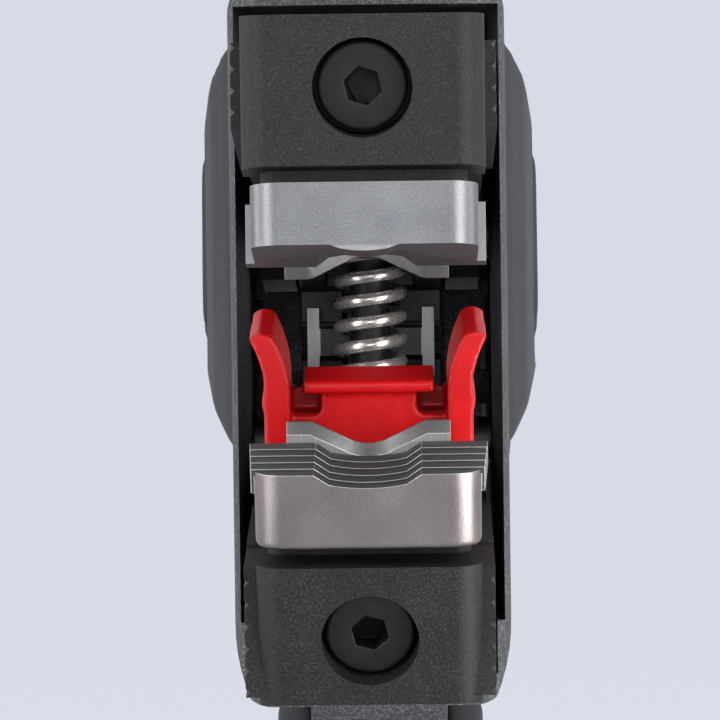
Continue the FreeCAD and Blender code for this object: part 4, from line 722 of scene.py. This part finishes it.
def backdrop_paper(name, base):
    """Studio paper: evenly pale to the camera, with the object's shadow still on it."""
    material, tree, place = new_material(name)
    fibre = add_node(tree, "ShaderNodeTexNoise", Vector=place, Scale=1 / (1.5 * MM), Detail=3.0)
    tones = [(0.3, shade(base, 0.995)), (0.7, shade(base, 1.005))]
    tone = add_node(tree, "ShaderNodeValToRGB", {"stops": tones}, Fac=fibre)
    matt = add_node(tree, "ShaderNodeBsdfDiffuse", Color=tone)
    glow = add_node(tree, "ShaderNodeEmission", Color=tone, Strength=1.0)
    most = add_node(tree, "ShaderNodeMath", {"operation": "MULTIPLY"}, i0=seen_rays(tree), i1=PALE)
    close_material(tree, add_node(tree, "ShaderNodeMixShader", i0=most, i1=matt, i2=glow))
    return material


def light_world(scene, stage):
    """A dim even sky, which shows as the pale backdrop wherever it is seen beyond the sweep."""
    world = bpy.data.worlds.new("even sky")
    world.use_nodes = True
    tree = world.node_tree
    tree.nodes.clear()
    sky = add_node(tree, "ShaderNodeBackground", Color=stage.sky_blue, Strength=stage.sky_strength)
    pale = add_node(tree, "ShaderNodeBackground", Color=stage.backdrop_blue, Strength=PALE)
    mixed = add_node(tree, "ShaderNodeMixShader", i0=seen_rays(tree), i1=sky, i2=pale)
    add_node(tree, "ShaderNodeOutputWorld", Surface=mixed)
    scene.world = world


def direction_to(offset):
    """The rotation of a lamp or camera that stands at an offset and looks back along it."""
    return Vector(offset).to_track_quat("Z", "Y").to_euler()


def add_lamp(name, aim, offset, size, power):
    """A rectangular lamp that faces the nose and that the camera doesn't see."""
    lamp = bpy.data.lights.new(name, "AREA")
    lamp.shape = "RECTANGLE"
    lamp.size, lamp.size_y = size
    lamp.energy = power
    holder = bpy.data.objects.new(name, lamp)
    bpy.context.scene.collection.objects.link(holder)
    holder.location = aim + np.array(offset)
    holder.rotation_euler = direction_to(offset)
    holder.visible_camera = False


def set_camera(scene, stage, aim):
    """A long lens in front of the mouth, a little above it, its length and shift worked out for a picture 720
    pixels wide.
    """
    camera = bpy.data.cameras.new("camera")
    camera.sensor_width = SENSOR_MM
    camera.lens = stage.pixels_per_mm * stage.camera_distance / MM * SENSOR_MM / PICTURE_PIXELS
    camera.clip_start = 0.01
    camera.clip_end = 20.0
    camera.shift_x = -stage.picture_shift / PICTURE_PIXELS
    holder = bpy.data.objects.new("camera", camera)
    scene.collection.objects.link(holder)
    tilt, pan = stage.camera_tilt, stage.camera_pan
    offset = stage.camera_distance * np.array(
        [math.sin(pan) * math.cos(tilt), -math.cos(pan) * math.cos(tilt), math.sin(tilt)])
    holder.location = aim + offset
    holder.rotation_euler = direction_to(offset)
    holder.rotation_euler.rotate_axis("Z", stage.camera_roll)
    scene.camera = holder


class STRIPPER_OT_jaws(bpy.types.Operator):
    """Ease the edges of both jaws and give them moulded nylon"""

    bl_idname = "stripper.jaws"
    bl_label = "Finish the jaws"

    def execute(self, context):
        finish, sizes = context.scene.stripper_finish, context.scene.stripper_sizes
        for node in ("upper_jaw", "lower_jaw"):
            eased_piece(node, jaw_nylon(finish), sizes.jaw_ease)
        return {"FINISHED"}


class STRIPPER_OT_clamps(bpy.types.Operator):
    """Ease the edges of both clamps, blast them, and paint shade on their gripping faces and highlights on
    their eased edges
    """

    bl_idname = "stripper.clamps"
    bl_label = "Finish the clamps"

    def execute(self, context):
        finish, sizes = context.scene.stripper_finish, context.scene.stripper_sizes
        upper = finish_of("bead-blasted steel, upper", blasted_steel, finish.blasted_grey,
                          grain_mm=0.12, metallic=1.0, roughness=0.4)
        # The lower clamp's warm tint is a painted reflection.
        lower = finish_of("bead-blasted steel, lower", blasted_steel, finish.lower_reflection_grey,
                          grain_mm=0.12, metallic=1.0, roughness=0.38)
        # The gripping faces' finish: sintered steel, darkened further as painted shade.
        sintered = finish_of("dark sintered steel", blasted_steel, finish.sintered_shade_grey,
                             grain_mm=0.2, metallic=0.15, roughness=0.6)
        # The eased edges' finish: worn steel, made lighter as a painted highlight.
        worn = finish_of("worn steel edge", blasted_steel, finish.wear_and_glint_grey,
                         grain_mm=0.16, metallic=1.0, roughness=0.35)
        for node, blasted in (("upper_clamp", upper), ("lower_clamp", lower)):
            piece = eased_piece(node, blasted, sizes.clamp_ease, steps=2)
            piece.data.materials.append(sintered)
            piece.data.materials.append(worn)
            # Faces in the gripping band take the dark finish as painted shade.
            dark = gripping_faces(piece.data, node, sizes.grip_band)
            piece.data.polygons.foreach_set("material_index", dark.astype(np.int32))
            # The eased edges take the lighter edge finish: wear and a painted highlight.
            piece.modifiers["eased edges"].material = 2
        return {"FINISHED"}


class STRIPPER_OT_blades(bpy.types.Operator):
    """Finish the blades, the carriers that hold them and the bar that pulls them"""

    bl_idname = "stripper.blades"
    bl_label = "Finish the blades"

    def execute(self, context):
        finish, sizes = context.scene.stripper_finish, context.scene.stripper_sizes
        upright, along = (0.0, QUARTER, 0.0), (QUARTER, 0.0, 0.0)
        ground = finish_of("ground tool steel", lined_steel, finish.ground_grey,
                           line_mm=0.1, roughness=0.4, turn=upright)
        # A lighter zinc for the draw bar's posts: a painted highlight.
        painted_highlight = finish_of("zinc plate, rubbed", lined_steel, finish.post_highlight_grey,
                           line_mm=0.3, roughness=0.4, turn=along)
        blacked = finish_of("black zinc plate", lined_steel, finish.carrier_grey,
                            line_mm=0.3, roughness=0.5, turn=along)
        for node in ("upper_blade", "lower_blade"):
            eased_piece(node, ground, sizes.blade_ease, steps=2)
        for node in ("upper_carrier", "lower_carrier"):
            eased_piece(node, blacked, sizes.metal_ease)
        bar = eased_piece("draw_bar", blacked, sizes.metal_ease).data
        bar.materials.append(painted_highlight)
        split_across(bar, (-sizes.post_inner, sizes.post_inner))
        # The posts' faces take the lighter zinc as a painted highlight.
        posts = np.abs(rows_of(bar.polygons, "center")[:, 0]) > sizes.post_inner
        bar.polygons.foreach_set("material_index", posts.astype(np.int32))
        return {"FINISHED"}


class STRIPPER_OT_stop(bpy.types.Operator):
    """Mould the length stop and the notched dial in glossy acetal"""

    bl_idname = "stripper.stop"
    bl_label = "Finish the stop and dial"

    def execute(self, context):
        finish, sizes = context.scene.stripper_finish, context.scene.stripper_sizes
        acetal = finish_of("glossy acetal, red", glossy_acetal, finish.stop_red)
        moulded_piece("wire_stop", acetal, sizes.stop_grid, passes=7)
        show_piece("dial_finish", dial_mesh(sizes), "dial", acetal, smooth_degrees=40)
        return {"FINISHED"}


class STRIPPER_OT_springs(bpy.types.Operator):
    """Wind the jaw spring with closed ends around its guide, and finish the return spring"""

    bl_idname = "stripper.springs"
    bl_label = "Wind the springs"

    def execute(self, context):
        finish, sizes = context.scene.stripper_finish, context.scene.stripper_sizes
        drawn = finish_of("drawn spring wire", drawn_wire, finish.wire_grey)
        spring = show_piece("jaw_spring_finish", jaw_spring_mesh(sizes), "jaw_spring", drawn,
                            smooth_degrees=60)
        # The dark guide also stands in for painted shade inside the coils.
        guide = show_piece("jaw_spring_guide_shade_core", shade_core_guide_mesh(sizes), "jaw_spring", jaw_nylon(finish),
                           smooth_degrees=50)
        for piece in (spring, guide):
            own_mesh(piece)
        show_piece("return_spring_finish", merged_copy("return_spring"), "return_spring", drawn,
                   smooth_degrees=50)
        return {"FINISHED"}


class STRIPPER_OT_shell(bpy.types.Operator):
    """Finish the housing halves, the ribs inside them and their soft pads"""

    bl_idname = "stripper.shell"
    bl_label = "Finish the shell"

    def execute(self, context):
        finish, sizes = context.scene.stripper_finish, context.scene.stripper_sizes
        nylon = shell_nylon(finish)
        hands = (("left", -1), ("right", 1))
        for hand, side in hands:
            housing = hand + "_housing"
            eased_piece(housing, nylon, sizes.shell_ease)
            show_piece(housing + "_rib", wall_rib_mesh(side, sizes), housing, nylon)
        for hand, side in hands:
            ribbed_pad(hand + "_grip", pad_elastomer(finish), sizes, (side,))
        return {"FINISHED"}


class STRIPPER_OT_handle(bpy.types.Operator):
    """Finish the moving handle and its soft grip"""

    bl_idname = "stripper.handle"
    bl_label = "Finish the handle"

    def execute(self, context):
        finish, sizes = context.scene.stripper_finish, context.scene.stripper_sizes
        eased_piece("handle_lever", shell_nylon(finish), sizes.shell_ease)
        ribbed_pad("lever_grip", pad_elastomer(finish), sizes, (-1, 1))
        return {"FINISHED"}


class STRIPPER_OT_fasteners(bpy.types.Operator):
    """Finish the screws and pins"""

    bl_idname = "stripper.fasteners"
    bl_label = "Finish the fasteners"

    def execute(self, context):
        finish, sizes = context.scene.stripper_finish, context.scene.stripper_sizes
        oxide = finish_of("black-oxide steel", black_oxide_steel, finish.oxide_black)
        ground = finish_of("ground pin steel", lined_steel, finish.pin_grey,
                           line_mm=0.2, roughness=0.5, turn=(0.0, 0.0, 0.0))
        for node in ("upper_clamp_screw", "lower_clamp_screw"):
            screw = eased_piece(node, oxide, sizes.metal_ease)
            deepen_socket(screw.data, sizes.socket_sink)
        heads = screw_head_grids(merged_copy("cover_screws"), sizes.recess_depth)
        show_piece("cover_screws_finish", solid_mesh("cover_screw_heads", heads), "cover_screws", oxide)
        for node in ("upper_jaw_pin", "lower_jaw_pin", "lever_pin", "drive_pin", "dial_axle"):
            eased_piece(node, ground, sizes.metal_ease)
        return {"FINISHED"}


class STRIPPER_OT_stage(bpy.types.Operator):
    """Set the pale sweep, the lamps and the camera"""

    bl_idname = "stripper.stage"
    bl_label = "Set the stage"

    def execute(self, context):
        scene, stage = context.scene, context.scene.stripper_stage
        sweep = bpy.data.objects.new("sweep", sweep_mesh())
        scene.collection.objects.link(sweep)
        sweep.data.materials.append(backdrop_paper("backdrop paper", stage.backdrop_blue))
        aim = nose_middle()
        for name, (offset, size, share) in LAMPS.items():
            add_lamp(name, aim, offset, size, stage.lamp_power * share)
        light_world(scene, stage)
        set_camera(scene, stage, aim)
        scene.view_settings.view_transform = "Standard"
        return {"FINISHED"}


STEPS = (
    STRIPPER_OT_jaws,
    STRIPPER_OT_clamps,
    STRIPPER_OT_blades,
    STRIPPER_OT_stop,
    STRIPPER_OT_springs,
    STRIPPER_OT_shell,
    STRIPPER_OT_handle,
    STRIPPER_OT_fasteners,
    STRIPPER_OT_stage,
)


class STRIPPER_PT_pieces(bpy.types.Panel):
    """Lists the steps that finish the tool"""

    bl_label = "Wire stripper"
    bl_idname = "STRIPPER_PT_pieces"
    bl_space_type = "VIEW_3D"
    bl_region_type = "UI"
    bl_category = "Stripper"

    def draw(self, context):
        column = self.layout.column(align=True)
        for step in STEPS:
            column.operator(step.bl_idname)


CLASSES = (StripperFinish, StripperSizes, StripperStage, *STEPS, STRIPPER_PT_pieces)


def register():
    """Add the property groups, the operators and the panel."""
    for item in CLASSES:
        bpy.utils.register_class(item)
    bpy.types.Scene.stripper_finish = bpy.props.PointerProperty(type=StripperFinish)
    bpy.types.Scene.stripper_sizes = bpy.props.PointerProperty(type=StripperSizes)
    bpy.types.Scene.stripper_stage = bpy.props.PointerProperty(type=StripperStage)


def unregister():
    """Take them away again, in reverse."""
    del bpy.types.Scene.stripper_stage
    del bpy.types.Scene.stripper_sizes
    del bpy.types.Scene.stripper_finish
    for item in reversed(CLASSES):
        bpy.utils.unregister_class(item)


def main():
    """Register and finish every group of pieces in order."""
    register()
    for step in STEPS:
        group, action = step.bl_idname.split(".")
        getattr(getattr(bpy.ops, group), action)()
    bpy.context.view_layer.update()


if __name__ == "__main__":
    main()
